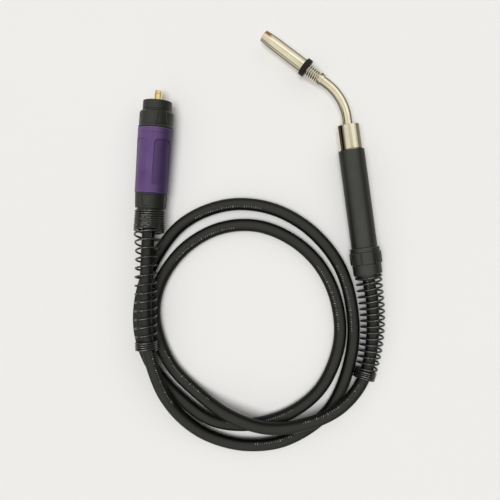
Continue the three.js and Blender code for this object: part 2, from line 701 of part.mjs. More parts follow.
// ---- strain-relief springs: a wire coiled round a curved line, close-wound at its ends ------------------
// The value at a turn, from a list of [turn, value] pairs.
function valueAt(pairs, turn) {
  const next = pairs.findIndex(([at]) => at >= turn);
  if (next === 0) return pairs[0][1];
  if (next < 0) return pairs.at(-1)[1];
  const [from, low] = pairs[next - 1];
  const [to, high] = pairs[next];
  return THREE.MathUtils.lerp(low, high, (turn - from) / (to - from));
}

// The distance that a coil has gone along its axis after each run of turns.
function travelPairs(runs) {
  const pairs = [[0, SPRING_WIRE / 2 + SEAT]];
  for (const [turns, pitch] of runs) {
    const [turn, along] = pairs.at(-1);
    pairs.push([turn + turns, along + turns * pitch]);
  }
  return pairs;
}

function coiledSpring(axisPoints, runs, radii) {
  const axis = new THREE.CatmullRomCurve3(axisPoints, false, 'centripetal');
  const length = axis.getLength();
  const travel = travelPairs(runs);
  const turns = travel.at(-1)[0];
  const up = new THREE.Vector3(0, 0, 1);
  const path = new Stations((t) => {
    const turn = t * turns;
    const along = Math.min(valueAt(travel, turn) / length, 1);
    const tangent = axis.getTangentAt(along);
    const side = tangent.clone().cross(up).normalize();
    const top = side.clone().cross(tangent);
    const radius = valueAt(radii, turn) - SPRING_WIRE / 2;
    const angle = 2 * Math.PI * (turn + SPRING_START);
    return axis.getPointAt(along)
      .addScaledVector(side, radius * Math.cos(angle))
      .addScaledVector(top, radius * Math.sin(angle));
  });
  return swept(roundSection(SPRING_WIRE / 2, WIRE_SIDES), path, Math.round(turns * STEPS_PER_TURN));
}

const vector = ([x, y, z]) => new THREE.Vector3(x, y, z);

// A point on the connector's axis, in the model.
connector.updateMatrix();
const onConnector = (y) => new THREE.Vector3(0, y, 0).applyMatrix4(connector.matrix);
const onHandle = (y) => new THREE.Vector3(0, y, NUT_PAD_RADIUS);

const frontRuns = [
  [FRONT_SPRING_SEATED_TURNS, FRONT_SPRING_SEATED_PITCH],
  [FRONT_SPRING_OPEN_TURNS, FRONT_SPRING_OPEN_PITCH],
  [SPRING_END_TURNS, SPRING_END_PITCH],
];
const frontTaperTurns = FRONT_SPRING_SEATED_TURNS + FRONT_SPRING_OPEN_TURNS;
const frontRadii = [[0, FRONT_SPRING_WIDE], [frontTaperTurns, FRONT_SPRING_NARROW]];

// Straight behind the handle, then round an arc to the left, while it sinks until it lies on the table.
function frontSpringAxis() {
  const travel = travelPairs(frontRuns);
  const length = travel.at(-1)[1] + SPRING_WIRE;
  const taperLength = valueAt(travel, frontTaperTurns);
  return Array.from({ length: SPRING_AXIS_POINTS }, (_, i) => {
    const along = (length * i) / (SPRING_AXIS_POINTS - 1);
    const swung = Math.max(0, along - FRONT_SPRING_STRAIGHT) / FRONT_SPRING_BEND_RADIUS;
    const straight = Math.min(along, FRONT_SPRING_STRAIGHT);
    const tapered = Math.min(along / taperLength, 1);
    const radius = THREE.MathUtils.lerp(FRONT_SPRING_WIDE, FRONT_SPRING_NARROW, tapered);
    const clear = (NUT_PAD_RADIUS - FRONT_SPRING_WIDE) * (1 - tapered) ** 2;
    return new THREE.Vector3(
      -FRONT_SPRING_BEND_RADIUS * (1 - Math.cos(swung)),
      sleeveRear - straight - FRONT_SPRING_BEND_RADIUS * Math.sin(swung),
      radius + clear,
    );
  });
}

piece(torch, 'front_spring', coiledSpring(frontSpringAxis(), frontRuns, frontRadii), blackSteel);

const rearCollarRear = -SEAT - REAR_COLLAR_LENGTH;
const rearAxis = [onConnector(rearCollarRear), ...REAR_SPRING_AXIS.map(vector)];
const rearRuns = [
  [REAR_SPRING_SEATED_TURNS, REAR_SPRING_SEATED_PITCH],
  [REAR_SPRING_OPEN_TURNS, REAR_SPRING_OPEN_PITCH],
  [SPRING_END_TURNS, SPRING_END_PITCH],
];
const rearRadii = [
  [0, REAR_SPRING_WIDE],
  [REAR_SPRING_SEATED_TURNS, REAR_SPRING_WIDE],
  [REAR_SPRING_SEATED_TURNS + REAR_SPRING_TAPER_TURNS, REAR_SPRING_NARROW],
];
piece(cord, 'rear_spring', coiledSpring(rearAxis, rearRuns, rearRadii), blackSteel);

// ---- cable: from the crimp in the handle to the crimp in the connector ----------------------------------
const crimpFront = PLUG_REAR - SEAT;
const cableRear = crimpFront - CRIMP_WAIST_LENGTH - CRIMP_LENGTH - SEAT;
const route = new THREE.CatmullRomCurve3([
  onHandle(cableFront),
  onHandle(nutAt),
  onHandle(sleeveAt),
  onHandle(sleeveRear - 2 * SLEEVE_SPIGOT),
  ...CABLE_ROUTE.map(vector),
  onConnector(rearCollarRear - REAR_COLLAR_COIL_SPIGOT),
  onConnector(cableRear - REAR_COLLAR_LENGTH),
  onConnector(cableRear),
], false, 'centripetal');
route.arcLengthDivisions = 2000;
piece(cord, 'power_cable', swept(roundSection(CABLE_RADIUS, CABLE_SIDES), route, CABLE_STEPS), cableRubber);

// ---- rear collar ------------------------------------------------------------------------------------
const rearSpigotRadius = REAR_SPRING_WIDE - SPRING_WIRE - COIL_EASE;
const housingRearBore = HOUSING_REAR_RADIUS - HOUSING_WALL;
const rearCollar = turned([
  [cableBore, rearCollarRear - REAR_COLLAR_COIL_SPIGOT],
  [rearSpigotRadius, rearCollarRear - REAR_COLLAR_COIL_SPIGOT],
  [rearSpigotRadius, rearCollarRear],
  [REAR_COLLAR_REAR_RADIUS, rearCollarRear],
  [REAR_COLLAR_FRONT_RADIUS, -SEAT],
  [housingRearBore - FIT, -SEAT],
  [housingRearBore - FIT, REAR_COLLAR_SPIGOT],
  [cableBore, REAR_COLLAR_SPIGOT],
]);
const rearGrip = outline([
  [-REAR_GRIP_NARROW / 2, rearCollarRear + REAR_GRIP_MARGIN],
  [REAR_GRIP_NARROW / 2, rearCollarRear + REAR_GRIP_MARGIN],
  [REAR_GRIP_WIDE / 2, -SEAT - REAR_GRIP_MARGIN],
  [-REAR_GRIP_WIDE / 2, -SEAT - REAR_GRIP_MARGIN],
]);
const rearGripCore = [
  [0, rearCollarRear - OVERRUN],
  [REAR_COLLAR_REAR_RADIUS - REAR_GRIP_DEPTH, rearCollarRear - OVERRUN],
  [REAR_COLLAR_FRONT_RADIUS - REAR_GRIP_DEPTH, OVERRUN],
  [0, OVERRUN],
];
const rearGrips = pockets(GRIP_COUNT, REAR_GRIP_TURN, rearGrip, 2 * HOUSING_FRONT_RADIUS, rearGripCore);
piece(connector, 'rear_collar', cut(rearCollar, ...rearGrips), blackPlastic);

// ---- plug housing -------------------------------------------------------------------------------------
function housingOuter(y) {
  return THREE.MathUtils.lerp(HOUSING_REAR_RADIUS, HOUSING_FRONT_RADIUS, y / HOUSING_LENGTH);
}

const grooveAt = HOUSING_LENGTH - HOUSING_BAND;
const seatRingFront = SEAT_RING_AT + SEAT_RING_LENGTH;
const housingBlank = turned([
  [housingRearBore, 0],
  [HOUSING_REAR_RADIUS - HOUSING_EDGE, 0],
  [housingOuter(HOUSING_EDGE), HOUSING_EDGE],
  [housingOuter(grooveAt - HOUSING_GROOVE), grooveAt - HOUSING_GROOVE],
  [housingOuter(grooveAt) - HOUSING_GROOVE_DEPTH, grooveAt - HOUSING_GROOVE / 2],
  [housingOuter(grooveAt), grooveAt],
  [housingOuter(HOUSING_LENGTH - HOUSING_EDGE), HOUSING_LENGTH - HOUSING_EDGE],
  [HOUSING_FRONT_RADIUS - HOUSING_EDGE, HOUSING_LENGTH],
  [HOUSING_FRONT_RADIUS - HOUSING_WALL, HOUSING_LENGTH],
  [HOUSING_FRONT_RADIUS - HOUSING_WALL, seatRingFront],
  [plugBore, seatRingFront],
  [plugBore, SEAT_RING_AT],
  [housingRearBore, SEAT_RING_AT],
]);
const panel = new THREE.Shape();
const panelHalf = PANEL_WIDTH / 2;
panel.moveTo(-panelHalf, PANEL_FROM);
panel.lineTo(panelHalf, PANEL_FROM);
panel.lineTo(panelHalf, PANEL_TO - PANEL_CORNER);
panel.absarc(panelHalf - PANEL_CORNER, PANEL_TO - PANEL_CORNER, PANEL_CORNER, 0, Math.PI / 2);
panel.absarc(PANEL_CORNER - panelHalf, PANEL_TO - PANEL_CORNER, PANEL_CORNER, Math.PI / 2, Math.PI);
const panelCore = [
  [0, PANEL_FROM],
  [housingOuter(PANEL_FROM), PANEL_FROM],
  [housingOuter(PANEL_TO) - PANEL_DEPTH, PANEL_TO],
  [0, PANEL_TO],
];
const panels = pockets(PANEL_COUNT, PANEL_TURN, panel, 2 * HOUSING_FRONT_RADIUS, panelCore);
const screwAt = SEAT_RING_AT + SEAT_RING_LENGTH / 2;
const headSeat = housingOuter(screwAt) - HOUSING_SCREW_HEAD_LENGTH;
const outside = 2 * HOUSING_FRONT_RADIUS;
const headHole = drilled(HOUSING_SCREW_HEAD + FIT, headSeat - SEAT, outside, screwAt, BOTTOM);
const shankHole = drilled(HOUSING_SCREW_SHANK + FIT, 0, outside, screwAt, BOTTOM);
piece(connector, 'plug_housing', cut(housingBlank, ...panels, headHole, shankHole), purplePlastic);

const screwEnd = headSeat - HOUSING_SCREW_LENGTH;
const housingScrew = piece(connector, 'housing_screw', turned([
  [0, screwEnd],
  [HOUSING_SCREW_SHANK, screwEnd],
  [HOUSING_SCREW_SHANK, headSeat],
  [HOUSING_SCREW_HEAD, headSeat],
  [HOUSING_SCREW_HEAD, headSeat + HOUSING_SCREW_HEAD_LENGTH / 2],
  [0, headSeat + HOUSING_SCREW_HEAD_LENGTH / 2],
], ROUND_SMALL), springSteel);
housingScrew.position.y = screwAt;
housingScrew.rotation.x = -Math.PI / 2;

// ---- plug: brass body, its rear crimp, centre pin with nose and seal, two sprung signal pins --------------
const crimpStudRadius = BLOCK_THROUGH_BORE - FIT;
const signalHoleEnd = bossFront + SIGNAL_PROUD - SIGNAL_LENGTH - SIGNAL_TRAVEL - SEAT;
const pinTailEnd = bossFront - PIN_TAIL;
const signalSides = [['a', -1], ['b', 1]];
const signalHoles = signalSides.map(([, side]) => {
  const hole = rod(SIGNAL_RADIUS + FIT, signalHoleEnd, couplingFront);
  hole.translate(side * SIGNAL_ACROSS, 0, -SIGNAL_BELOW);
  return solid(hole);
});
const plugScrewHole = drilled(HOUSING_SCREW_SHANK + FIT, screwEnd - SEAT, outside, screwAt, BOTTOM);
piece(connector, 'plug_body', cut(turned([
  [BLOCK_THROUGH_BORE, PLUG_REAR],
  [PLUG_RADIUS, PLUG_REAR],
  [PLUG_RADIUS, HOUSING_LENGTH],
  [PLUG_SHANK_RADIUS, HOUSING_LENGTH],
  [PLUG_SHANK_RADIUS, lipFront + SEAT],
  [PLUG_FLANGE_RADIUS, lipFront + SEAT],
  [PLUG_FLANGE_RADIUS, flangeFront],
  [PLUG_BOSS_RADIUS, flangeFront],
  [PLUG_BOSS_RADIUS, bossFront],
  [PIN_RADIUS + FIT, bossFront],
  [PIN_RADIUS + FIT, pinTailEnd],
  [BLOCK_THROUGH_BORE, pinTailEnd],
]), ...signalHoles, plugScrewHole), brass);

const rearCrimp = piece(connector, 'rear_crimp', crimp(crimpStudRadius, CRIMP_STUD_LENGTH), copper);
rearCrimp.position.y = crimpFront;

const pinFront = bossFront + PIN_LENGTH;
const oringY = bossFront + ORING_AT;
const grooveRadius = PIN_RADIUS - ORING_GROOVE_DEPTH;
const grooveHalf = ORING_WIRE + FIT;
piece(connector, 'centre_pin', turned([
  [PIN_BORE, pinTailEnd + SEAT],
  [PIN_RADIUS, pinTailEnd + SEAT],
  [PIN_RADIUS, oringY - grooveHalf],
  [grooveRadius, oringY - grooveHalf],
  [grooveRadius, oringY + grooveHalf],
  [PIN_RADIUS, oringY + grooveHalf],
  [PIN_RADIUS, pinFront],
  [PIN_BORE, pinFront],
], ROUND_MEDIUM), brass);

piece(connector, 'pin_nose', turned([
  [GUIDE_BORE, pinFront - PIN_NOSE_STUD],
  [PIN_BORE - FIT, pinFront - PIN_NOSE_STUD],
  [PIN_BORE - FIT, pinFront + SEAT],
  [PIN_NOSE_RADIUS, pinFront + SEAT],
  [PIN_NOSE_RADIUS, pinFront + PIN_NOSE_LENGTH - PIN_NOSE_ROUNDING],
  [PIN_NOSE_RADIUS - PIN_NOSE_ROUNDING / 4, pinFront + PIN_NOSE_LENGTH - PIN_NOSE_ROUNDING / 4],
  [PIN_NOSE_RADIUS - PIN_NOSE_ROUNDING, pinFront + PIN_NOSE_LENGTH],
  [GUIDE_BORE, pinFront + PIN_NOSE_LENGTH],
], ROUND_MEDIUM), brass);

const seal = new THREE.TorusGeometry(grooveRadius + FIT + ORING_WIRE, ORING_WIRE, 6, ROUND_MEDIUM);
seal.rotateX(Math.PI / 2);
seal.translate(0, oringY, 0);
piece(connector, 'pin_seal', seal, darkRubber);

for (const [name, side] of signalSides) {
  const from = bossFront + SIGNAL_PROUD - SIGNAL_LENGTH;
  const tip = bossFront + SIGNAL_PROUD;
  const signalPin = piece(connector, `signal_pin_${name}`, turned([
    [0, from],
    [SIGNAL_RADIUS, from],
    [SIGNAL_RADIUS, tip - SIGNAL_RADIUS / 2],
    [SIGNAL_RADIUS / 2, tip],
    [0, tip],
  ], ROUND_SMALL), brass);
  signalPin.position.set(side * SIGNAL_ACROSS, 0, -SIGNAL_BELOW);
}

// ---- coupling nut and the threaded ring inside it ---------------------------------------------------------
const noseBore = COUPLING_NOSE_RADIUS - COUPLING_WALL;
const couplingBlank = turned([
  [PLUG_SHANK_RADIUS + FIT, couplingAt],
  [COUPLING_RADIUS + COUPLING_FLARE, couplingAt],
  [COUPLING_RADIUS, couplingAt + COUPLING_FLARE_LENGTH],
  [COUPLING_RADIUS, couplingShoulder - COUPLING_CHAMFER],
  [COUPLING_RADIUS - COUPLING_CHAMFER, couplingShoulder],
  [COUPLING_NOSE_RADIUS, couplingShoulder],
  [COUPLING_NOSE_RADIUS, couplingFront - COUPLING_NOSE_EDGE],
  [COUPLING_NOSE_RADIUS - COUPLING_NOSE_EDGE / 2, couplingFront],
  [noseBore, couplingFront],
  [noseBore, lipFront],
  [PLUG_SHANK_RADIUS + FIT, lipFront],
]);
const grip = outline([
  [-GRIP_WIDE / 2, couplingAt + GRIP_FROM],
  [GRIP_WIDE / 2, couplingAt + GRIP_FROM],
  [GRIP_NARROW / 2, couplingShoulder + OVERRUN],
  [-GRIP_NARROW / 2, couplingShoulder + OVERRUN],
]);
const gripCore = [
  [0, couplingAt],
  [COUPLING_RADIUS - GRIP_DEPTH, couplingAt],
  [COUPLING_RADIUS - GRIP_DEPTH, couplingFront],
  [0, couplingFront],
];
const grips = pockets(GRIP_COUNT, GRIP_TURN, grip, 2 * COUPLING_RADIUS, gripCore);
piece(connector, 'coupling_nut', cut(couplingBlank, ...grips), blackPlastic);

const ringOuter = noseBore - FIT;
piece(connector, 'coupling_ring',
  ring(ringOuter - RING_WALL, ringOuter, flangeFront + SEAT, couplingFront - SEAT),
  brass);

// ---- origin: on the table, under the middle of the torch --------------------------------------------
model.updateMatrixWorld(true);
const torchBox = new THREE.Box3().setFromObject(torch);
const middle = torchBox.getCenter(new THREE.Vector3());
model.position.set(-middle.x, -middle.y, -torchBox.min.z);

export default model;
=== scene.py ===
import itertools
import math

import bmesh
import bpy
import numpy as np
from mathutils import Matrix, Vector


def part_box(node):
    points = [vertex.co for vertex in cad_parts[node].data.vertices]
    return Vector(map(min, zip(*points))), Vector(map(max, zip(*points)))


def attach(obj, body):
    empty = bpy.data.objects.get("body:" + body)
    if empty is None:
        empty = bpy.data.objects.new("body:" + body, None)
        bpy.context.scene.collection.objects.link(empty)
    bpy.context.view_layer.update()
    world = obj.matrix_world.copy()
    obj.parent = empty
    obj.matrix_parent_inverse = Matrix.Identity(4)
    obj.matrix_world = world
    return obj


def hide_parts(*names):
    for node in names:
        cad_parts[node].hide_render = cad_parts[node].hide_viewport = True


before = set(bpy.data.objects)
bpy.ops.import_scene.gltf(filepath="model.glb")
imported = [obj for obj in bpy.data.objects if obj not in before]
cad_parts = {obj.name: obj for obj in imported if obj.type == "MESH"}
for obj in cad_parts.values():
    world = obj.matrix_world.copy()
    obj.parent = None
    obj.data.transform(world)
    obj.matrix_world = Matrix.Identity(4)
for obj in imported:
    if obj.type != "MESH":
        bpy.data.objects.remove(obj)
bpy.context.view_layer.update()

# ---- The view ----
# The torch lies on a table and is seen from straight above, 936 mm up. Every piece finds its place
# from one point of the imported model, the middle of the body tube's front rim. The frames of the
# handle, the nozzle and the connector hold millimetres, as on a drawing, with Y along the axis.
CAMERA_HEIGHT = 0.936
CAMERA_OVER = (-0.1534, -0.1149)
CAMERA_TURN = -7.7
VIEW_HALF_WIDTH = 0.345

tube_low, tube_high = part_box("body_tube")
rim = Vector(((tube_low.x + tube_high.x) / 2, tube_high.y, (tube_low.z + tube_high.z) / 2))

camera = bpy.data.objects.new("camera", bpy.data.cameras.new("camera"))
camera.location = (rim.x + CAMERA_OVER[0], rim.y + CAMERA_OVER[1], CAMERA_HEIGHT)
camera.rotation_euler = (0, 0, math.radians(CAMERA_TURN))
camera.data.angle = 2 * math.atan(VIEW_HALF_WIDTH / CAMERA_HEIGHT)
camera.data.clip_start = 0.01
camera.data.clip_end = 60
bpy.context.collection.objects.link(camera)
bpy.context.scene.camera = camera

NECK_BEND_START = 43.8
NECK_BEND_RADIUS = 70
NECK_BEND = math.radians(45)
CONNECTOR_AT = (-0.2748, -0.0219, 0.0237)
CONNECTOR_LEAN = -11.7

handle_place = Matrix.Translation(rim) @ Matrix.Scale(0.001, 4)
bend_end = Vector((
    -NECK_BEND_RADIUS * (1 - math.cos(NECK_BEND)),
    NECK_BEND_START + NECK_BEND_RADIUS * math.sin(NECK_BEND),
    0,
))
nozzle_place = handle_place @ Matrix.Translation(bend_end) @ Matrix.Rotation(NECK_BEND, 4, "Z")
table_place = Matrix.Translation((rim.x, rim.y, 0))
connector_place = (
    table_place
    @ Matrix.Translation(CONNECTOR_AT)
    @ Matrix.Rotation(math.radians(CONNECTOR_LEAN), 4, "Z")
    @ Matrix.Scale(0.001, 4)
)


# ---- Power cable ----
# A 17 mm welding cable: fine copper strands, the wire liner and the gas hose under one black rubber
# sheath. It is crimped inside the handle, lies in two and a half turns and is crimped again inside
# the connector. The sheath is matt, with fine lines along it and a row of plain white length marks.
CABLE_RADIUS = 0.0085
CABLE_SIDES = 28
CABLE_STEP = 0.004
MARK_PITCH = 0.0032
MARK_OFF_TOP = 0.0036
MARKED_LENGTH = 0.096
MARKED_EVERY = 0.23
SAME_POINT = 1e-7
SHARP_EDGE = math.radians(38)
CABLE_FROM_HANDLE = [
    (0, -92.6, 21.3), (0, -138.6, 21.3), (0, -154.7, 21.3), (0, -182.6, 21.3), (1, -204, 20),
    (-4, -250, 17.6), (-13, -284, 16.8), (-22, -304, 17.6), (-39, -324.5, 22.2), (-69, -344, 29.2),
    (-113, -356, 28.8), (-164, -354, 28.6), (-211, -331, 27), (-253, -295, 11),
]
CABLE_REST = 8.9
CABLE_ON_TABLE = [
    (-280, -259), (-293, -219), (-294, -177), (-277, -136), (-239, -99), (-189, -80), (-138, -84),
    (-92, -111), (-60, -152), (-45.4, -203), (-49.8, -258), (-82, -314), (-129, -343), (-187, -351),
    (-236, -338), (-278, -299), (-306, -256), (-317, -211), (-312, -167), (-291, -120), (-241, -68),
    (-179, -50), (-121, -61), (-71, -96), (-36, -151), (-26, -215), (-36, -277), (-75, -345),
    (-138, -378), (-194, -378),
]
CABLE_TO_CONNECTOR = [
    (-242, -359, 9.5), (-272, -331, 16.8), (-293, -293, 27), (-303.5, -249, 31.5),
    (-305.5, -215, 32.2), (-301, -165, 32.6), (-294, -125, 32.4), (-287, -83, 27.6),
]


def distance_along(line):
    """How far along a line each of its points is."""
    return np.concatenate([[0], np.cumsum(np.linalg.norm(np.diff(line, axis=0), axis=1))])


def points_at(at, run, rows):
    """The points or directions of a line at some distances along it."""
    return np.stack([np.interp(at, run, column) for column in rows.T], axis=1)


def unit(rows):
    """Each direction at length 1."""
    return rows / np.linalg.norm(rows, axis=-1, keepdims=True)


def smooth_line(points, step, samples=60):
    """Points about a step apart on the smooth line through these points."""
    points = np.array(points, float)
    points = np.vstack([2 * points[0] - points[1], points, 2 * points[-1] - points[-2]])
    pieces = []
    for before, start, end, after in zip(points, points[1:], points[2:], points[3:]):
        into, across, away = start - before, end - start, after - end
        near, wide, far = (np.linalg.norm(gap) ** 0.5 for gap in (into, across, away))
        leave = (into / near - (into + across) / (near + wide) + across / wide) * wide
        reach = (across / wide - (across + away) / (wide + far) + away / far) * wide
        t = np.linspace(0, 1, samples, endpoint=False)[:, None]
        bend = 3 * across - 2 * leave - reach
        twist = leave + reach - 2 * across
        pieces.append(start + leave * t + bend * t**2 + twist * t**3)
    dense = np.vstack([*pieces, points[-2]])
    run = distance_along(dense)
    return points_at(np.linspace(0, run[-1], round(run[-1] / step) + 1), run, dense)


def placed(points, place):
    """Points of a piece's own frame in the row frame."""
    turn = np.array(place.to_3x3())
    return np.asarray(points, float) @ turn.T + np.array(place.translation)


def mesh_piece(name, points, faces, wrap=None, edge=None):
    """A piece from its points and faces. wrap is each face corner's place round and along the
    piece, in metres, and edge says how much of a worn outer edge each point is."""
    mesh = bpy.data.meshes.new(name)
    mesh.from_pydata(points.tolist(), [], faces)
    if wrap is not None:
        layer = mesh.uv_layers.new(name="wrap")
        layer.data.foreach_set("uv", np.asarray(wrap, np.float32).ravel())
    if edge is not None:
        worn = mesh.attributes.new("edge", "FLOAT", "POINT")
        worn.data.foreach_set("value", np.asarray(edge, np.float32))
    piece = bpy.data.objects.new(name, mesh)
    bpy.context.collection.objects.link(piece)
    tidy = bmesh.new()
    tidy.from_mesh(mesh)
    bmesh.ops.remove_doubles(tidy, verts=tidy.verts, dist=SAME_POINT)
    loose = [side for side in tidy.edges if not side.link_faces]
    bmesh.ops.delete(tidy, geom=loose, context="EDGES")
    bmesh.ops.recalc_face_normals(tidy, faces=tidy.faces)
    tidy.to_mesh(mesh)
    tidy.free()
    mesh.shade_smooth()
    mesh.set_sharp_from_angle(angle=SHARP_EDGE)
    return piece


def sections_piece(name, rings, round_m, along_m, closed, edge=None, turn=None):
    """A skin over rings of points. round_m is its girth and along_m where each ring lies along it,
    in metres. closed joins the last ring to the first; otherwise the ends are capped. turn says
    where the points of a ring lie round it, from 0 to 1."""
    count, sides = rings.shape[:2]
    around = round_m * (np.linspace(0, 1, sides + 1) if turn is None else turn)
    faces, wrap = [], []
    for i in range(count if closed else count - 1):
        j = (i + 1) % count
        near, far = along_m[i], along_m[j]
        for k in range(sides):
            n = (k + 1) % sides
            faces.append((i * sides + k, i * sides + n, j * sides + n, j * sides + k))
            left, right = around[k], around[k + 1]
            wrap += [(left, near), (right, near), (right, far), (left, far)]
    if not closed:
        for i in (0, count - 1):
            faces.append(tuple(range(i * sides, (i + 1) * sides)))
            wrap += [(at, along_m[i]) for at in around[:-1]]
    return mesh_piece(name, rings.reshape(-1, 3), faces, wrap, edge)


def frames_along(line):
    """The line's directions, and two directions across it that turn as little as they can."""
    tangents = unit(np.gradient(line, axis=0))
    up = np.array([0, 0, 1] if abs(tangents[0][2]) < 0.9 else [1, 0, 0])
    tops = []
    for tangent in tangents:
        up = unit(up - tangent * (up @ tangent))
        tops.append(up)
    tops = np.array(tops)
    return tangents, tops, np.cross(tangents, tops)


def outward(tops, lefts, sides):
    """Directions away from a line, all round each of its points, the first of them down."""
    angles = np.linspace(0, 2 * np.pi, sides, endpoint=False)[None, :, None]
    return lefts[:, None] * np.sin(angles) - tops[:, None] * np.cos(angles)


def tube(name, line, radius, sides, rounded=False):
    """A round tube or wire of that radius along a line, in metres, with flat or rounded ends."""
    tangents, tops, lefts = frames_along(line)
    radii = np.full(len(line), float(radius))
    if rounded:
        # A few smaller rings past each end.
        lift = np.array([0.0, 0.3, 0.55, 0.8])
        past = radius * (1 - lift[:, None]) * 0.8
        line = np.vstack([line[0] - tangents[0] * past, line, line[-1] + tangents[-1] * past[::-1]])
        ends = ((len(lift), len(lift)), (0, 0))
        tops, lefts = np.pad(tops, ends, "edge"), np.pad(lefts, ends, "edge")
        cap = radius * np.sqrt(1 - (1 - lift) ** 2 * 0.96)
        radii = np.concatenate([cap, radii, cap[::-1]])
    rings = line[:, None] + outward(tops, lefts, sides) * radii[:, None, None]
    return sections_piece(name, rings, 2 * np.pi * radius, distance_along(line), False)


class Value:
    """One socket of a material. Sums and products of Values add the Math nodes for them."""

    def __init__(self, nodes, socket):
        self.nodes = nodes
        self.socket = socket

    def maths(self, operation, *values):
        return self.nodes.add("Math", {"operation": operation}, dict(enumerate(values)))

    def __add__(self, other):
        return self.maths("ADD", self, other)

    def __sub__(self, other):
        return self.maths("SUBTRACT", self, other)

    def __rsub__(self, other):
        return self.maths("SUBTRACT", other, self)

    def __mul__(self, other):
        return self.maths("MULTIPLY", self, other)

    def __mod__(self, other):
        return self.maths("MODULO", self, other)

    def __lt__(self, other):
        return self.maths("LESS_THAN", self, other)

    def __abs__(self):
        return self.maths("ABSOLUTE", self)

    __radd__ = __add__
    __rmul__ = __mul__

    def between(self, low, high):
        """0 below low, 1 above high and smooth between, or the other way round where low is above
        high."""
        sockets = {"Value": self, "From Min": low, "From Max": high}
        return self.nodes.add("MapRange", {"interpolation_type": "SMOOTHSTEP"}, sockets)


class Nodes:
    """The nodes of one material, or of the world."""

    def __init__(self, owner):
        owner.use_nodes = True
        self.tree = owner.node_tree

    def add(self, kind, settings=None, sockets=None, output=0):
        node = self.tree.nodes.new("ShaderNode" + kind)
        for name, value in (settings or {}).items():
            setattr(node, name, value)
        for name, value in (sockets or {}).items():
            self.feed(node.inputs[name], value)
        return Value(self, node.outputs[output])

    def feed(self, socket, value):
        if isinstance(value, Value):
            self.tree.links.new(value.socket, socket)
        elif socket.type == "RGBA":
            socket.default_value = (*value, 1)
        else:
            socket.default_value = value

    def parts(self, vector):
        return [self.add("SeparateXYZ", sockets={0: vector}, output=axis) for axis in "XYZ"]

    def mixed(self, amount, first, second):
        """The first colour where amount is 0, the second where it is 1."""
        # A Mix node's own colours are its inputs 6 and 7 and its output 2.
        return self.add("Mix", {"data_type": "RGBA"}, {0: amount, 6: first, 7: second}, 2)

    def bump(self, height, depth):
        """A surface normal for a height from 0 to 1 that stands for that depth in metres."""
        return self.add("Bump", sockets={"Height": height, "Distance": depth, "Strength": 1.0})


class Finish(Nodes):
    """A material. Its plain numbers and colours go straight on the shader's own sockets."""

    def __init__(self, name, **plain):
        self.material = bpy.data.materials.new(name)
        super().__init__(self.material)
        self.shader = self.tree.nodes["Principled BSDF"]
        self.place = self.add("TexCoord", output="Object")
        self.set(**plain)

    def set(self, **values):
        for name, value in values.items():
            self.feed(self.shader.inputs[name.replace("_", " ")], value)

    def wrap(self):
        """The place round the piece and along it, in metres."""
        return self.add("UVMap", {"uv_map": "wrap"})

    def noise(self, scale, detail=2.0, roughness=0.5, where=None):
        sockets = {"Scale": scale, "Detail": detail, "Roughness": roughness}
        return self.add("TexNoise", sockets={"Vector": where or self.place, **sockets})

    def streaks(self, around, along, detail=2.0):
        """Noise with so many blots a metre round the piece and along it."""
        scales = {0: self.wrap(), 1: (around, along, 1)}
        wide = self.add("VectorMath", {"operation": "MULTIPLY"}, scales)
        return self.noise(1.0, detail, where=wide)

    def upward(self, lean=0.24):
        """1 where the surface faces up, as the torch lies, leaning that much to the left, towards
        the light.
        The finishes paint light and shade with it.
        """
        right, _, up = self.parts(self.add("TexCoord", output="Normal"))
        return up * math.sqrt(1 - lean**2) - right * lean

    def edge(self):
        """1 on a worn outer edge, -1 down in a carved panel or pocket."""
        return self.add("Attribute", {"attribute_name": "edge"}, output="Fac")

    def wear_and_sheen(self):
        """1 in patches along the worn outer edges."""
        return self.edge().between(0.0, 1.0) * self.noise(420, 3.0).between(0.3, 0.65)

    def on(self, *pieces):
        for piece in pieces:
            piece.data.materials.clear()
            piece.data.materials.append(self.material)


def sheath_rubber():
    finish = Finish("sheath_rubber", IOR=1.5, Specular_IOR_Level=0.18)
    around, along, _ = finish.parts(finish.wrap())
    lines = finish.streaks(1400, 40)
    grain = finish.noise(2200, 3.0)
    dust = finish.noise(45, 4.0, 0.6)
    # Length marks: a group of ticks 1.8 mm tall, every fifth taller, then a long bare stretch.
    off_middle = abs(around - math.pi * CABLE_RADIUS + MARK_OFF_TOP)
    off_tick = abs((along % MARK_PITCH) - MARK_PITCH / 2)
    off_fifth = abs((along % (5 * MARK_PITCH)) - MARK_PITCH / 2)
    tick = (off_middle < 0.0009) * (off_tick < 0.0003)
    tall = (off_middle < 0.0014) * (off_fifth < 0.0004)
    group = (along % MARKED_EVERY) < MARKED_LENGTH
    wear = finish.noise(900).between(0.42, 0.58)
    mark = finish.add("Math", {"operation": "MAXIMUM"}, {0: tick, 1: tall}) * group * wear
    # Painted light: the side that lies up is painted paler, as if lit, in soft blotches; the sides
    # and the underside are painted deep black, as shade.
    painted_top_light = finish.upward(0.1).between(0.65, 1.0) * (0.75 + dust * 0.5)
    rubber = finish.mixed(painted_top_light, (0.002, 0.0021, 0.0018), (0.033, 0.0345, 0.03))
    finish.set(
        Base_Color=finish.mixed(mark * 0.75, rubber, (0.62, 0.62, 0.6)),
        Roughness=0.4 + dust * 0.14 + grain * 0.05,
        Normal=finish.bump(grain * 0.5 + lines, 0.00004),
    )
    return finish


def fitted(piece, finish, slot, *nodes, body="torch"):
    """Gives a piece its finish and its body, and hides the solids of the model that it stands for.
    """
    finish.on(piece)
    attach(piece, body)
    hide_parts(*nodes)


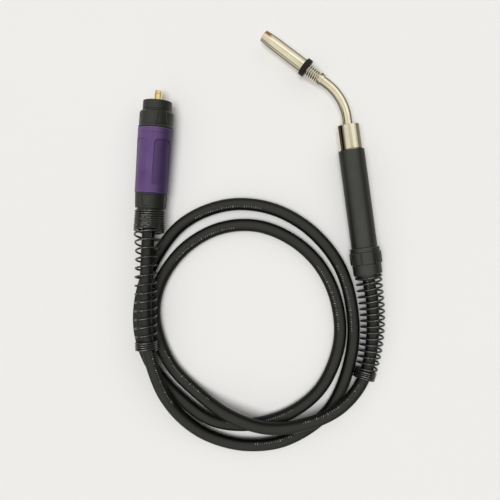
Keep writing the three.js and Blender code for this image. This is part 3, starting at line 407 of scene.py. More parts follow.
connector_line = placed([(0, -29.3, 0), (0, -14.6, 0), (0, 5.4, 0)], connector_place)
cable_route = CABLE_FROM_HANDLE + [(*at, CABLE_REST) for at in CABLE_ON_TABLE] + CABLE_TO_CONNECTOR
cable_points = np.vstack([placed(np.array(cable_route) / 1000, table_place), connector_line])
cable_line = smooth_line(cable_points, CABLE_STEP)
power_cable = tube("power_cable_sheath", cable_line, CABLE_RADIUS, CABLE_SIDES)
fitted(power_cable, sheath_rubber(), "cable_rubber", "power_cable")


# ---- Body tube ----
# The handle of a machine torch: a plain round tube of moulded black plastic, 35 mm across, so that
# a clamp can hold it anywhere. Its surface is satin, with a fine grain and a few scratches.
BODY_LENGTH = 132


def rounded_outline(profile, steps=4, hold=0.2):
    """A closed outline of (radius, y) or (radius, y, rounding) as rows of radius, y and how much of
    an outer edge the point is. A point is held close to each side of a rounded corner."""
    corners = np.array([corner[:2] for corner in profile], float)
    rounding = [corner[2] if len(corner) > 2 else 0 for corner in profile]
    ahead, behind = np.roll(corners, -1, 0), np.roll(corners, 1, 0)
    area = np.sum(corners[:, 0] * ahead[:, 1] - ahead[:, 0] * corners[:, 1])
    rows = []
    for at, before, after, size in zip(corners, behind, ahead, rounding):
        if size == 0:
            rows.append((*at, 0))
            continue
        back, out = before - at, after - at
        lengths = np.linalg.norm(back), np.linalg.norm(out)
        back, out = unit(back), unit(out)
        cut = min(size, *(0.45 * length for length in lengths))
        first_hold, last_hold = (min(hold, 0.04 * length) for length in lengths)
        convex = (back[0] * out[1] - back[1] * out[0]) * area < 0
        rows.append((*(at + back * (cut + first_hold)), 0))
        for t in np.linspace(0, 1, steps + 1):
            rows.append((*(at + back * cut * (1 - t) ** 2 + out * cut * t**2), convex))
        rows.append((*(at + out * (cut + last_hold)), 0))
    return np.array(rows, float)


def turned(name, place, profile, sides=128, carve=None, carve_above=0, fine=0.5, angles=None):
    """A piece turned about its Y axis from a closed profile, as rounded_outline takes it.
    carve(radius, angle, y) gives the radius that is left of the outer skin, above carve_above.
    Angles run from the top, in radians, and the right-hand side, +X, is at a quarter turn."""
    outline = rounded_outline(profile)
    if carve:
        rows = []
        for at, after in zip(outline, np.roll(outline, -1, 0)):
            carved = min(at[0], after[0]) >= carve_above
            cuts = math.ceil(np.linalg.norm(after[:2] - at[:2]) / fine) if carved else 1
            rows += [at + (after - at) * t for t in np.arange(cuts) / cuts]
        outline = np.array(rows)
    if angles is None:
        angles = np.linspace(-np.pi, np.pi, sides, endpoint=False)
    radius, along, worn = (np.repeat(part[:, None], len(angles), 1) for part in outline.T)
    around = np.repeat(angles[None], len(outline), 0)
    if carve:
        # What lies more than 0.02 mm under the skin counts as carved, and isn't worn.
        left = np.where(radius >= carve_above, carve(radius, around, along), radius)
        worn = np.where(left < radius - 0.02, -1, worn)
        radius = left
    rings = np.stack([radius * np.sin(around), along, radius * np.cos(around)], axis=2)
    widest = outline[:, 0].max()
    run = (outline[:, 1] + widest - outline[:, 0]) / 1000
    rings = placed(rings.reshape(-1, 3), place).reshape(rings.shape)
    turn = np.append(angles - angles[0], 2 * np.pi) / (2 * np.pi)
    return sections_piece(name, rings, 2 * np.pi * widest / 1000, run, True, worn.ravel(), turn)


def moulded_plastic(name, dark, light, rough, grain_depth=0.00003, scratches=0.0):
    """Satin moulded plastic with a fine grain, slightly polished and paler on its outer edges. The
    side that lies up is painted paler, as if lit, in soft blotches, and the sides darker, as
    painted shade."""
    finish = Finish(name, IOR=1.5, Specular_IOR_Level=0.3)
    grain = finish.noise(2600)
    cloud = finish.noise(38, 3.0, 0.55)
    wear_and_sheen = finish.wear_and_sheen()
    # Painted light: the lit colour on the side that lies up, leaning left, the shaded colour down
    # the sides and below.
    colour = finish.mixed(finish.upward().between(0.74, 1.0) * (0.65 + cloud * 0.7), dark, light)
    pale = [min(1.0, channel * 1.9 + 0.01) for channel in light]
    colour = finish.mixed(wear_and_sheen * 0.35, colour, pale)
    rough_now = rough + cloud * 0.08 + grain * 0.05 - wear_and_sheen * 0.12
    if scratches:
        scratch = finish.streaks(160, 1100).between(0.74, 0.8) * finish.noise(25).between(0.5, 0.62)
        colour = finish.mixed(scratch * scratches, colour, pale)
        rough_now = rough_now + scratch * 0.1
    finish.set(Base_Color=colour, Roughness=rough_now, Normal=finish.bump(grain, grain_depth))
    return finish


black_plastic = moulded_plastic(
    "black_plastic", (0.011, 0.012, 0.0095), (0.053, 0.0555, 0.048), 0.36, scratches=0.3)

body_tube = turned("body_tube_shell", handle_place, [
    (15.1, -BODY_LENGTH, 0.3), (17.5, -BODY_LENGTH, 0.6), (17.5, 0, 0.6), (15.1, 0, 0.3),
])
fitted(body_tube, black_plastic, "black_plastic", "body_tube")


# ---- Neck collar ----
# The heavy collar that holds the swan neck in the handle. It is turned from brass, polished and
# plated with a warm nickel, and its rear half is pressed into the tube.
def plated(name, colour, tint=None, brushed=0.3, painted_dark_bands=()):
    """Polished plating: warm, with fine turning lines, a few specks and a slight cloudiness. Dark
    brown bands can be painted along the piece as painted dark reflections, each given by its place
    in turns from below, half its width in turns, how dark it is, and the piece's radius."""
    finish = Finish(name, Metallic=1.0)
    lines = finish.streaks(60, 5200)
    cloud = finish.noise(60, 3.0, 0.6)
    speck = finish.noise(900).between(0.72, 0.8)
    shade = finish.mixed(cloud.between(0.3, 0.75), colour, [channel * 0.9 for channel in colour])
    shade = finish.mixed(speck * 0.4, shade, (0.32, 0.27, 0.17))
    if tint:
        shade = tint(finish, shade)
    around = finish.parts(finish.wrap())[0]
    # Painted reflection: each band darkens the plating to dark brown down the piece's side,
    # standing in for dark surroundings mirrored there.
    for middle, half, dark, radius in painted_dark_bands:
        girth = 2 * math.pi * radius / 1000
        painted_band = 1 - abs(around - middle * girth).between(half * 0.65 * girth, half * girth)
        shade = finish.mixed(painted_band * dark, shade, (0.05, 0.03, 0.012))
    finish.set(
        Base_Color=shade,
        Roughness=0.1 + cloud * 0.06 + lines * brushed * 0.16 + speck * 0.2,
        Normal=finish.bump(lines, 0.000004 * brushed),
    )
    return finish


WARM_NICKEL = (0.93, 0.87, 0.65)
# Painted reflection: two dark brown bands painted down the collar's sides.
nickel_with_painted_bands = plated(
    "nickel_with_painted_bands", (0.86, 0.8, 0.595), painted_dark_bands=[(0.338, 0.052, 0.97, 15), (0.645, 0.06, 0.8, 15)])

neck_collar = turned("neck_collar_turned", handle_place, [
    (6.7, -24, 0.3), (14.8, -24, 0.5), (14.8, 0.3), (14, 0.3, 0.3), (15, 1.3, 0.3),
    (15, 34, 0.7), (6.7, 34, 0.4),
])
fitted(neck_collar, nickel_with_painted_bands, "chrome", "neck_collar")


# ---- Swan neck ----
# A copper tube bent by 45 degrees on a roller and plated like the collar, with the steel guide of
# the wire liner inside it, and a narrow plated collar on its end that holds the nozzle spring.
NECK_RADIUS = 6.4
NECK_BORE = 4.5
NECK_TAIL = 50
NECK_NOSE = 14.5


def neck_line():
    """The neck's middle line, in the handle's millimetres."""
    straight = [(0, y, 0) for y in np.linspace(-NECK_TAIL, NECK_BEND_START, 24)[:-1]]
    angles = np.linspace(0, NECK_BEND, 48)
    reach, drop = NECK_BEND_RADIUS * np.sin(angles), NECK_BEND_RADIUS * (1 - np.cos(angles))
    bend = [(-d, NECK_BEND_START + r, 0) for d, r in zip(drop, reach)]
    lean = np.array([-math.sin(NECK_BEND), math.cos(NECK_BEND), 0])
    nose = [np.array(bend[-1]) + lean * n for n in np.linspace(0, NECK_NOSE, 8)[1:]]
    return placed(straight + bend + nose, handle_place)


def hollow_tube(name, line, outer, inner, sides):
    """A tube with an open bore along a line, in metres."""
    tangents, tops, lefts = frames_along(line)
    out = outward(tops, lefts, sides)
    ease = (outer - inner) * 0.2
    eased = np.vstack([line[0] + tangents[0] * ease, line[1:-1], line[-1] - tangents[-1] * ease])
    skin, bore = eased[:, None] + out * outer, line[:, None] + out * inner
    lips = line[[0, -1], None] + out[[0, -1]] * (outer - ease)
    rings = np.concatenate([lips[:1], skin, lips[1:], bore[::-1]])
    run = distance_along(line)
    along = np.concatenate([[0], run, run[-1:], run[::-1]])
    return sections_piece(name, rings, 2 * np.pi * outer, along, True)


# Painted reflection: two dark brown bands painted down the neck's sides.
chrome = plated(
    "warm_nickel", WARM_NICKEL,
    painted_dark_bands=[(0.33, 0.085, 0.92, NECK_RADIUS), (0.73, 0.085, 0.92, NECK_RADIUS)])
swan_neck = hollow_tube("swan_neck_tube", neck_line(), NECK_RADIUS / 1000, NECK_BORE / 1000, 64)
fitted(swan_neck, chrome, "chrome", "swan_neck")

bare_steel = plated("bare_steel", (0.56, 0.54, 0.49), brushed=1.0)
bare_steel.on(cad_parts["wire_guide"])

neck_end_collar = turned("neck_end_collar_turned", nozzle_place, [
    (6.7, 7.9, 0.2), (7.7, 7.9, 0.5), (7.7, 11.6, 0.5), (6.7, 11.6, 0.2),
], sides=72)
# Painted reflection: two dark brown bands painted down the end collar's sides.
end_nickel = plated(
    "end_nickel", WARM_NICKEL, painted_dark_bands=[(0.29, 0.06, 0.9, 7.7), (0.645, 0.05, 0.9, 7.7)])
fitted(neck_end_collar, end_nickel, "chrome", "neck_end_collar")


# ---- Nozzle spring ----
# Six turns of plated spring wire, slightly conical, pushed on between the collar on the neck and
# the insulator. It presses on the insulator, against which the nozzle seats.
SPRING_STEPS = 48
NOZZLE_SPRING_WIRE = 2
NOZZLE_SPRING_TURNS = 6
NOZZLE_SPRING_PITCH = 3.1
NOZZLE_SPRING_REAR = 8.9
NOZZLE_SPRING_FRONT = 10.7
NOZZLE_SPRING_AT = 11.9

turn = np.linspace(0, NOZZLE_SPRING_TURNS, NOZZLE_SPRING_TURNS * SPRING_STEPS + 1)
wide = np.linspace(NOZZLE_SPRING_REAR, NOZZLE_SPRING_FRONT, len(turn)) - NOZZLE_SPRING_WIRE / 2
wire_line = np.stack([
    wide * np.cos(2 * np.pi * turn),
    NOZZLE_SPRING_AT + NOZZLE_SPRING_WIRE / 2 + turn * NOZZLE_SPRING_PITCH,
    -wide * np.sin(2 * np.pi * turn),
], axis=1)
wire_line = placed(wire_line, nozzle_place)
nozzle_spring = tube("nozzle_spring_wire", wire_line, NOZZLE_SPRING_WIRE / 2000, 14, rounded=True)


def spring_painted_shade(finish, shade):
    """Paints shade on the windings: their outer crests stay bright and the wire is painted dark
    brown farther in, as painted shade.
    """
    start = nozzle_place @ Vector((0, NOZZLE_SPRING_AT, 0))
    axis = (nozzle_place.to_3x3() @ Vector((0, 1, 0))).normalized()
    reach = finish.add("VectorMath", {"operation": "SUBTRACT"}, {0: finish.place, 1: start})
    along = finish.add("VectorMath", {"operation": "DOT_PRODUCT"}, {0: reach, 1: axis}, "Value")
    across = finish.add("VectorMath", {"operation": "CROSS_PRODUCT"}, {0: reach, 1: axis})
    out = finish.add("VectorMath", {"operation": "LENGTH"}, {0: across}, "Value")
    taper = (NOZZLE_SPRING_FRONT - NOZZLE_SPRING_REAR) / (NOZZLE_SPRING_TURNS * NOZZLE_SPRING_PITCH)
    below_crest = NOZZLE_SPRING_REAR / 1000 + along * taper - out
    return finish.mixed(below_crest.between(0.00035, 0.0009) * 0.93, shade, (0.05, 0.028, 0.012))


spring_wire = plated("spring_wire", (0.99, 0.95, 0.76), tint=spring_painted_shade)
fitted(nozzle_spring, spring_wire, "spring_steel", "nozzle_spring")


# ---- Nozzle insulator ----
# A ring with a long sleeve, moulded from black glass-filled resin, that keeps the nozzle off the
# live holder. Fourteen shallow flutes round its rim give a grip.
FLUTES = 14
FLUTE_HALF = 1.2
FLUTE_DEPTH = 0.6
FLUTE_EDGE = 0.5
FLUTE_END = 39.2


def off_nearest(angle, count, first=0):
    """The angle from the nearest of count places round the axis, one of them at first degrees."""
    pitch = 2 * math.pi / count
    return (angle - math.radians(first) + pitch / 2) % pitch - pitch / 2


def softly(inside, edge):
    """0 outside and 1 inside a border, with that much width between."""
    return np.clip(inside / edge + 0.5, 0, 1)


def insulator_surface(radius, angle, y):
    across = np.abs(radius * np.sin(off_nearest(angle, FLUTES)))
    inside = np.minimum(FLUTE_HALF - across, FLUTE_END - y)
    return radius - FLUTE_DEPTH * softly(inside, FLUTE_EDGE)


insulator_black = moulded_plastic(
    "insulator_black", (0.005, 0.0032, 0.0022), (0.012, 0.008, 0.005), 0.3, 0.00005)
nozzle_insulator = turned("nozzle_insulator_ring", nozzle_place, [
    (6.7, 32.8, 0.3), (12.6, 32.8, 0.8), (12.6, 40.1, 0.8), (7.6, 40.1, 0.3), (7.6, 58.1, 0.4),
    (6.7, 58.1, 0.2),
], sides=336, carve=insulator_surface, carve_above=11, fine=0.6)
fitted(nozzle_insulator, insulator_black, "insulator", "nozzle_insulator")


# ---- Gas nozzle ----
# A copper nozzle with a short cone at its mouth, turned and plated. It pushes on over the
# insulator's sleeve and pulls off by hand. The arc has tinted the mouth brown, most on one side.
NOZZLE_TIP = 107.4


def heat_tint(finish, shade):
    around, along, _ = finish.parts(finish.wrap())
    ragged = finish.noise(170, 3.0) * 0.006
    hot = (along + ragged).between(0.099, 0.104)
    straw = (along + ragged).between(0.074, 0.1)
    side = 1 - abs(around - 0.038).between(0.0045, 0.0085)
    shade = finish.mixed(straw * 0.07, shade, (0.7, 0.48, 0.2))
    return finish.mixed(hot * (0.07 + side * 0.88), shade, (0.45, 0.19, 0.045))


# Painted reflection: two dark brown bands painted down the nozzle's sides; the brown at the mouth
# is heat tint.
nozzle_chrome = plated(
    "nozzle_nickel", WARM_NICKEL, tint=heat_tint,
    painted_dark_bands=[(0.278, 0.054, 0.85, 9.4), (0.648, 0.045, 0.9, 9.4)])
gas_nozzle = turned("gas_nozzle_turned", nozzle_place, [
    (7.9, 40.4, 0.2), (9.4, 40.4, 0.5), (9.05, 93.4, 6), (7.8, NOZZLE_TIP, 0.5),
    (6.6, NOZZLE_TIP, 0.3), (6.6, 99.4, 1), (7.9, 85.4, 1),
], sides=112)
fitted(gas_nozzle, nozzle_chrome, "chrome", "gas_nozzle", body="nozzle")


# ---- Tip holder, contact tip and gas diffuser ----
# The holder is turned from brass and screws into the neck. The copper contact tip screws into the
# holder's front, inside a white ceramic ring with four gas holes.
brass = plated("brass", (0.98, 0.8, 0.34), brushed=0.5)
copper = plated("copper", (0.72, 0.36, 0.2), brushed=0.8)
HOLDER_FRONT = 70.1
tip_holder = turned("tip_holder_turned", nozzle_place, [
    (1.8, 4.8, 0.3), (4.2, 4.8, 0.3), (4.2, 14.8), (6.4, 14.8, 0.4), (6.4, 58.1, 0.4),
    (5.2, 58.1), (5.2, HOLDER_FRONT, 0.4), (3.3, HOLDER_FRONT, 0.2), (3.3, 64.8),
    (1.8, 64.8),
], sides=72)
# Painted shade: dark brown bands painted down the holder's two sides, behind the spring's windings.
brass_with_painted_shade = plated(
    "brass_with_painted_shade", (0.97, 0.89, 0.66), brushed=0.6,
    painted_dark_bands=[(0.27, 0.14, 0.93, 6.4), (0.65, 0.14, 0.93, 6.4)])
fitted(tip_holder, brass_with_painted_shade, "brass", "tip_holder")
contact_tip = turned("contact_tip_turned", nozzle_place, [
    (0.6, 65.1, 0.1), (3, 65.1, 0.3), (3, 70.4), (4, 70.4, 0.4), (4, 95.8, 0.8),
    (2.6, 100.8, 0.5), (0.6, 100.8, 0.2),
], sides=64)
fitted(contact_tip, copper, "copper", "contact_tip")
ceramic = Finish("white_ceramic", IOR=1.6)
glaze = ceramic.noise(300, 3.0)
ceramic.set(
    Base_Color=ceramic.mixed(glaze, (0.72, 0.7, 0.64), (0.8, 0.78, 0.72)),
    Roughness=0.3 + glaze * 0.2,
    Normal=ceramic.bump(glaze, 0.00003),
)
ceramic.on(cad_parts["gas_diffuser"])


# ---- Inside the handle ----
# A brass block joins the neck to the copper crimp on the cable, and a slotted steel screw clamps
# the neck in it. None of them shows, so the model's own solids stay, in their own metals.
brass.on(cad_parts["neck_block"])
bare_steel.on(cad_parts["neck_screw"])
copper.on(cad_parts["front_crimp"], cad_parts["rear_crimp"])


# ---- Rear end of the handle ----
# Three mouldings in the handle's black plastic: a ring that closes the tube, a nut with eight broad
# pads and narrow ribs between them, and the sleeve that the nut clamps on the cable.
END_RING_AT = -132.3
NUT_AT = -138.6
NUT_END = -154.4
SLEEVE_END = -168.6

body_end_ring = turned("body_end_ring_moulded", handle_place, [
    (9.1, -147.8, 0.2), (14, -147.8, 0.4), (14, -138.3), (19.8, -138.3, 0.5),
    (19.8, END_RING_AT, 1.1), (14.8, END_RING_AT), (14.8, -118.3, 0.4), (9.1, -118.3, 0.2),
])
fitted(body_end_ring, black_plastic, "black_plastic", "body_end_ring")

NUT_PADS = 8
NUT_TURN = -2
PAD_RADIUS = 21.3
ROOT_RADIUS = 20.2
RIB_RADIUS = 20.9
PAD_HALF = 18.5
PAD_FALL = 0.7
RIB_HALF = 1.5
RIB_RISE = 0.5
pad_pitch = 360 / NUT_PADS


def nut_surface(radius, angle, y):
    """Pads, and a groove, a rib and a groove between one pad and the next."""
    off_middle = np.degrees(np.abs(off_nearest(angle, NUT_PADS, NUT_TURN)))
    off_pad = off_middle - PAD_HALF
    off_rib = RIB_HALF - (pad_pitch / 2 - off_middle)
    pad = PAD_RADIUS + (ROOT_RADIUS - PAD_RADIUS) * np.clip(off_pad / PAD_FALL, 0, 1)
    rib = ROOT_RADIUS + (RIB_RADIUS - ROOT_RADIUS) * np.clip(off_rib / RIB_RISE + 1, 0, 1)
    return np.minimum(radius, np.maximum(pad, rib))


# The nut's cuts are listed one by one: close together where a pad falls and where a rub rises.
half_pitch = [0, 3, 6, 9, 12, 15, 17.5, 18.2, 18.5, 18.8, 19.2, 19.6, 20.4, 20.6, 21, 21.4, 22]
one_pitch = sorted({-a for a in half_pitch} | set(half_pitch))
nut_angles = np.radians(
    [NUT_TURN - 180 + pad_pitch * i + a for i in range(NUT_PADS) for a in one_pitch])
cable_nut = turned("cable_nut_moulded", handle_place, [
    (12.3, NUT_END, 0.2), (PAD_RADIUS, NUT_END, 0.9), (PAD_RADIUS, NUT_AT, 0.9),
    (14.3, NUT_AT, 0.2), (14.3, -148.1), (12.3, -148.1),
], carve=nut_surface, carve_above=19, fine=2, angles=nut_angles)
fitted(cable_nut, black_plastic, "black_plastic", "cable_nut")

spring_sleeve = turned("spring_sleeve_moulded", handle_place, [
    (9.1, -175.6, 0.2), (14.9, -175.6, 0.6), (14.9, SLEEVE_END), (19.4, SLEEVE_END, 0.7),
    (19.4, -154.7, 0.5), (12, -154.7), (12, -149.2, 0.4), (9.1, -149.2, 0.2),
])
fitted(spring_sleeve, black_plastic, "black_plastic", "spring_sleeve")


# ---- Strain-relief springs ----
# Long conical springs of black oiled steel wire, 2.7 mm with its coat, that keep the cable from
# kinking at both its ends: close where they grip, open in between, with a painted highlight along
# their tops.
SPRING_WIRE = 2.7
SPRING_SEAT = 0.15
SPRING_START = 0.05
FRONT_SPRING_WIDE = 18.7
FRONT_SPRING_NARROW = 15.2
FRONT_SPRING_RUNS = [(1, 3), (15, 8.5), (4, 2.8)]
FRONT_SPRING_RADII = [(0, FRONT_SPRING_WIDE), (16, FRONT_SPRING_NARROW)]
FRONT_SPRING_STRAIGHT = 35
FRONT_SPRING_BEND_RADIUS = 240
REAR_SPRING_RUNS = [(9.5, 3.1), (13, 11.4), (4, 2.8)]
REAR_SPRING_RADII = [(0, 20.6), (9.5, 20.6), (12.5, 15.1)]
REAR_COLLAR_END = -20.3
REAR_SPRING_AXIS = [
    (-283, -62, 24.4), (-286.5, -82, 27.6), (-291, -105, 32.1), (-295.2, -130, 34.2),
    (-299.6, -160, 33.2), (-303.8, -190, 32.6), (-307.1, -219.7, 32.4), (-308.2, -232, 32.4),
]


def travel(runs):
    """The turns that the wire has made after each run of (turns, pitch), and how far it has run."""
    turns, along = [0.0], [SPRING_WIRE / 2 + SPRING_SEAT]
    for count, pitch in runs:
        turns.append(turns[-1] + count)
        along.append(along[-1] + count * pitch)
    return turns, along


def coiled_spring(name, axis, runs, radii):
    """A coil round an axis in millimetres over the table. radii lists (turn, outer radius)."""
    turns, along = travel(runs)
    turn = np.linspace(0, turns[-1], round(turns[-1] * SPRING_STEPS) + 1)
    axis = smooth_line(axis, 0.5)
    run = np.arange(len(axis)) * np.linalg.norm(axis[1] - axis[0])
    at = np.minimum(np.interp(turn, turns, along), run[-1])
    tangent = unit(points_at(at, run, np.gradient(axis, axis=0)))
    side = unit(np.cross(tangent, [0, 0, 1]))
    top = np.cross(side, tangent)
    radius = np.interp(turn, *zip(*radii)) - SPRING_WIRE / 2
    angle = -2 * np.pi * (turn + SPRING_START)
    out = side * np.cos(angle)[:, None] + top * np.sin(angle)[:, None]
    line = points_at(at, run, axis) + out * radius[:, None]
    return tube(name, placed(line / 1000, table_place), SPRING_WIRE / 2000, 12, rounded=True)


def front_axis():
    """Straight on from the sleeve, then bending left, and sinking as the spring grows narrower."""
    along = travel(FRONT_SPRING_RUNS)[1]
    at = np.linspace(0, along[-1] + SPRING_WIRE, 12)
    straight = np.minimum(at, FRONT_SPRING_STRAIGHT)
    swung = (at - straight) / FRONT_SPRING_BEND_RADIUS
    tapered = np.minimum(at / along[2], 1)
    radius = FRONT_SPRING_WIDE + (FRONT_SPRING_NARROW - FRONT_SPRING_WIDE) * tapered
    return np.stack([
        -FRONT_SPRING_BEND_RADIUS * (1 - np.cos(swung)),
        SLEEVE_END - straight - FRONT_SPRING_BEND_RADIUS * np.sin(swung),
        radius + (PAD_RADIUS - FRONT_SPRING_WIDE) * (1 - tapered) ** 2,
    ], axis=1)


def oiled_steel():
    finish = Finish("oiled_steel", IOR=1.5, Specular_IOR_Level=0.6)
    blotch = finish.noise(420, 3.0, 0.6)
    drawn = finish.streaks(2600, 60)
    # Painted highlight: a thin pale metallic line, in patches, painted along the top of the wire
    # where the light would glint.
    wear_and_sheen = finish.upward(0.1).between(0.9, 0.985) * finish.noise(350).between(0.3, 0.6)
    black = finish.mixed(blotch.between(0.3, 0.7), (0.003, 0.003, 0.0028), (0.009, 0.009, 0.0083))
    finish.set(
        Base_Color=finish.mixed(wear_and_sheen, black, (0.34, 0.34, 0.32)),
        Roughness=0.2 + blotch * 0.1,
        Metallic=wear_and_sheen * 0.8,
        Normal=finish.bump(drawn * 0.6 + blotch * 0.4, 0.000005),
    )
    return finish


black_wire = oiled_steel()
front_spring = coiled_spring(
    "front_spring_wire", front_axis(), FRONT_SPRING_RUNS, FRONT_SPRING_RADII)
fitted(front_spring, black_wire, "black_steel", "front_spring")

collar_end = (connector_place @ Vector((0, REAR_COLLAR_END, 0)) - Vector((rim.x, rim.y, 0))) * 1000
rear_spring = coiled_spring(
    "rear_spring_wire", [tuple(collar_end), *REAR_SPRING_AXIS], REAR_SPRING_RUNS, REAR_SPRING_RADII)
fitted(rear_spring, black_wire, "black_steel", "rear_spring")


# ---- Rear collar of the connector ----
# A tapered collar that screws into the housing's rear and carries the spring on its spigot. Four
# keystone-shaped pockets for the fingers are moulded into it, wide in front. The connector's black
# plastic is cleaner and darker than the handle's.
POCKET_COUNT = 4
POCKET_EDGE = 0.5
REAR_POCKET_DEPTH = 0.95

connector_plastic = moulded_plastic(
    "connector_plastic", (0.0095, 0.01, 0.008), (0.037, 0.0385, 0.033), 0.36, scratches=0.3)


def keystone(half_rear, half_front, rear, front, first):
    """A function that says how far a point lies in the nearest pocket, from 0 to 1. first is where
    one of them stands, in degrees from the top."""
    def sunk(radius, angle, y):
        across = np.abs(radius * np.sin(off_nearest(angle, POCKET_COUNT, first)))
        half = half_rear + (half_front - half_rear) * np.clip((y - rear) / (front - rear), 0, 1)
        inside = np.minimum(np.minimum(half - across, y - rear), front - y)
        return softly(inside, POCKET_EDGE)
    return sunk


rear_pocket = keystone(4.5, 7.5, -17.7, -2.9, -10)


def rear_collar_surface(radius, angle, y):
    return radius - REAR_POCKET_DEPTH * rear_pocket(radius, angle, y)


rear_collar = turned("rear_collar_moulded", connector_place, [
    (9.1, -29.3, 0.2), (16.8, -29.3, 0.6), (16.8, REAR_COLLAR_END), (20.4, REAR_COLLAR_END, 0.7),
    (21.6, -0.3, 0.4), (19.1, -0.3), (19.1, 5, 0.4), (9.1, 5, 0.2),
], sides=420, carve=rear_collar_surface, carve_above=20, fine=0.35)
fitted(rear_collar, connector_plastic, "black_plastic", "rear_collar")


# ---- Connector housing ----
# The grip of the connector: a slightly tapered shell moulded in purple plastic, with a fine groove
# behind its front band and four finger panels that sink towards the front. One screw from below
# holds it on the plug.
HOUSING_LENGTH = 87
HOUSING_REAR = 22.2
HOUSING_FRONT = 23.7
REAR_RIM = 0.6
PANEL_COUNT = 4
PANEL_HALF = 12.5
PANEL_FROM = 10
PANEL_TO = 70.8
PANEL_CORNER = 6
PANEL_DEPTH = 1.25
PANEL_EDGE = 0.4
PANEL_TURN = 40
GROOVE_AT = 79.65
GROOVE_HALF = 0.45
GROOVE_DEPTH = 0.45
SCREW_AT = 54
SCREW_HEAD = 3.2
SCREW_ROOM = 0.35
HEAD_SEAT = 21.33
SEAT_GAP = 0.3


def housing_surface(radius, angle, y):
    across = np.abs(radius * np.sin(off_nearest(angle, PANEL_COUNT, PANEL_TURN)))
    past_side = across - (PANEL_HALF - PANEL_CORNER)
    past_front = y - (PANEL_TO - PANEL_CORNER)
    round_off = np.hypot(np.maximum(past_side, 0), np.maximum(past_front, 0))
    inside = PANEL_CORNER - np.where(past_front > 0, round_off, past_side)
    inside = np.minimum(inside, y - PANEL_FROM)
    sink = PANEL_DEPTH * np.clip((y - PANEL_FROM) / (PANEL_TO - PANEL_FROM), 0, 1)
    panel = sink * softly(inside, PANEL_EDGE)
    groove = GROOVE_DEPTH * np.clip(1 - np.abs(y - GROOVE_AT) / GROOVE_HALF, 0, 1)
    left = np.where(y > REAR_RIM, radius - np.maximum(panel, groove), radius)
    off_screw = np.hypot(radius * np.sin(angle), y - SCREW_AT)
    counterbore = (off_screw < SCREW_HEAD + SCREW_ROOM) & (np.cos(angle) < 0)
    return np.where(counterbore, np.minimum(left, HEAD_SEAT - SEAT_GAP), left)


def purple_moulding():
    finish = Finish("purple_moulding", IOR=1.5, Specular_IOR_Level=0.3)
    grain = finish.noise(2400)
    around = finish.parts(finish.wrap())[0]
    cloud = finish.noise(32, 3.0, 0.55)
    flow = finish.streaks(160, 14, 3.0)
    scuff = finish.streaks(90, 900).between(0.72, 0.8)
    wear_and_sheen = finish.wear_and_sheen()
    # Painted shade: the sunken panels are painted darker, most in the one on the upper right.
    girth = 2 * math.pi * HOUSING_FRONT / 1000
    shaded_panel = 1 - abs(around - 0.64 * girth).between(0.14 * girth, 0.19 * girth)
    recess_shade = finish.edge().between(-0.2, -0.9) * (0.08 + shaded_panel * 0.3) * (0.8 + cloud * 0.4)
    colour = finish.mixed(cloud.between(0.3, 0.72), (0.097, 0.052, 0.165), (0.13, 0.072, 0.205))
    colour = finish.mixed(flow.between(0.5, 0.8) * 0.35, colour, (0.155, 0.08, 0.215))
    # Painted shade: the side turned away from the light, to the right and underneath, is painted
    # dark.
    shaded_side = finish.upward(0.42).between(0.93, 0.35)
    colour = finish.mixed(shaded_side * 0.8, colour, (0.026, 0.011, 0.052))
    colour = finish.mixed(recess_shade, colour, (0.022, 0.009, 0.045))
    colour = finish.mixed(scuff * 0.2 + wear_and_sheen * 0.3, colour, (0.26, 0.2, 0.36))
    finish.set(
        Base_Color=colour,
        Roughness=0.36 + cloud * 0.1 + grain * 0.05 + scuff * 0.1,
        Normal=finish.bump(grain, 0.00002),
    )
    return finish


plug_housing = turned("plug_housing_moulded", connector_place, [
    (19.4, 0, 0.2), (HOUSING_REAR, 0, 1), (HOUSING_FRONT, HOUSING_LENGTH, 1.1),
    (20.9, HOUSING_LENGTH, 0.3), (20.9, 62), (18.3, 62), (18.3, 46), (19.4, 46),
], sides=400, carve=housing_surface, carve_above=21.5, fine=0.42)
fitted(plug_housing, purple_moulding(), "purple_plastic", "plug_housing")


def bored(piece, tools):
    """Cuts the tools out of a piece and takes them away."""
    for tool in tools:
        cut = piece.modifiers.new("cut", "BOOLEAN")
        cut.operation = "DIFFERENCE"
        cut.solver = "EXACT"
        cut.object = tool
    bpy.context.view_layer.update()
    result = piece.evaluated_get(bpy.context.evaluated_depsgraph_get())
    mesh = bpy.data.meshes.new_from_object(result)
    piece.modifiers.clear()
    piece.data = mesh
    mesh.set_sharp_from_angle(angle=SHARP_EDGE)
    for tool in tools:
        bpy.data.objects.remove(tool)


downward = Matrix.Rotation(-math.pi / 2, 4, "X")
screw_place = connector_place @ Matrix.Translation((0, SCREW_AT, 0)) @ downward
housing_screw = turned("housing_screw_turned", screw_place, [
    (0, 12.33), (1.8, 12.33, 0.4), (1.8, HEAD_SEAT), (SCREW_HEAD, HEAD_SEAT, 0.2),
    (SCREW_HEAD, 22.23, 0.35), (0, 22.23),
], sides=48)
slot_box = placed(list(itertools.product((-4, 4), (21.6, 23), (-0.4, 0.4))), screw_place)
box_sides = [(0, 1, 3, 2), (4, 6, 7, 5), (0, 4, 5, 1), (2, 3, 7, 6), (0, 2, 6, 4), (1, 5, 7, 3)]
bored(housing_screw, [mesh_piece("screw_slot", slot_box, box_sides)])
fitted(housing_screw, bare_steel, "spring_steel", "housing_screw")


# ---- Plug ----
# The brass heart of the connector, turned in one piece, with a flange that keeps the coupling nut
# on. The hollow centre pin carries wire, gas and current; a rubber ring seals it and its nose is a
# brass bush. Two sprung brass pins below it carry the switch signal.
SIGNAL_ACROSS = 4.4
SIGNAL_BELOW = 6.6
SIGNAL_RADIUS = 1.7
SIGNAL_FROM = 95.9
SIGNAL_TO = 109.9

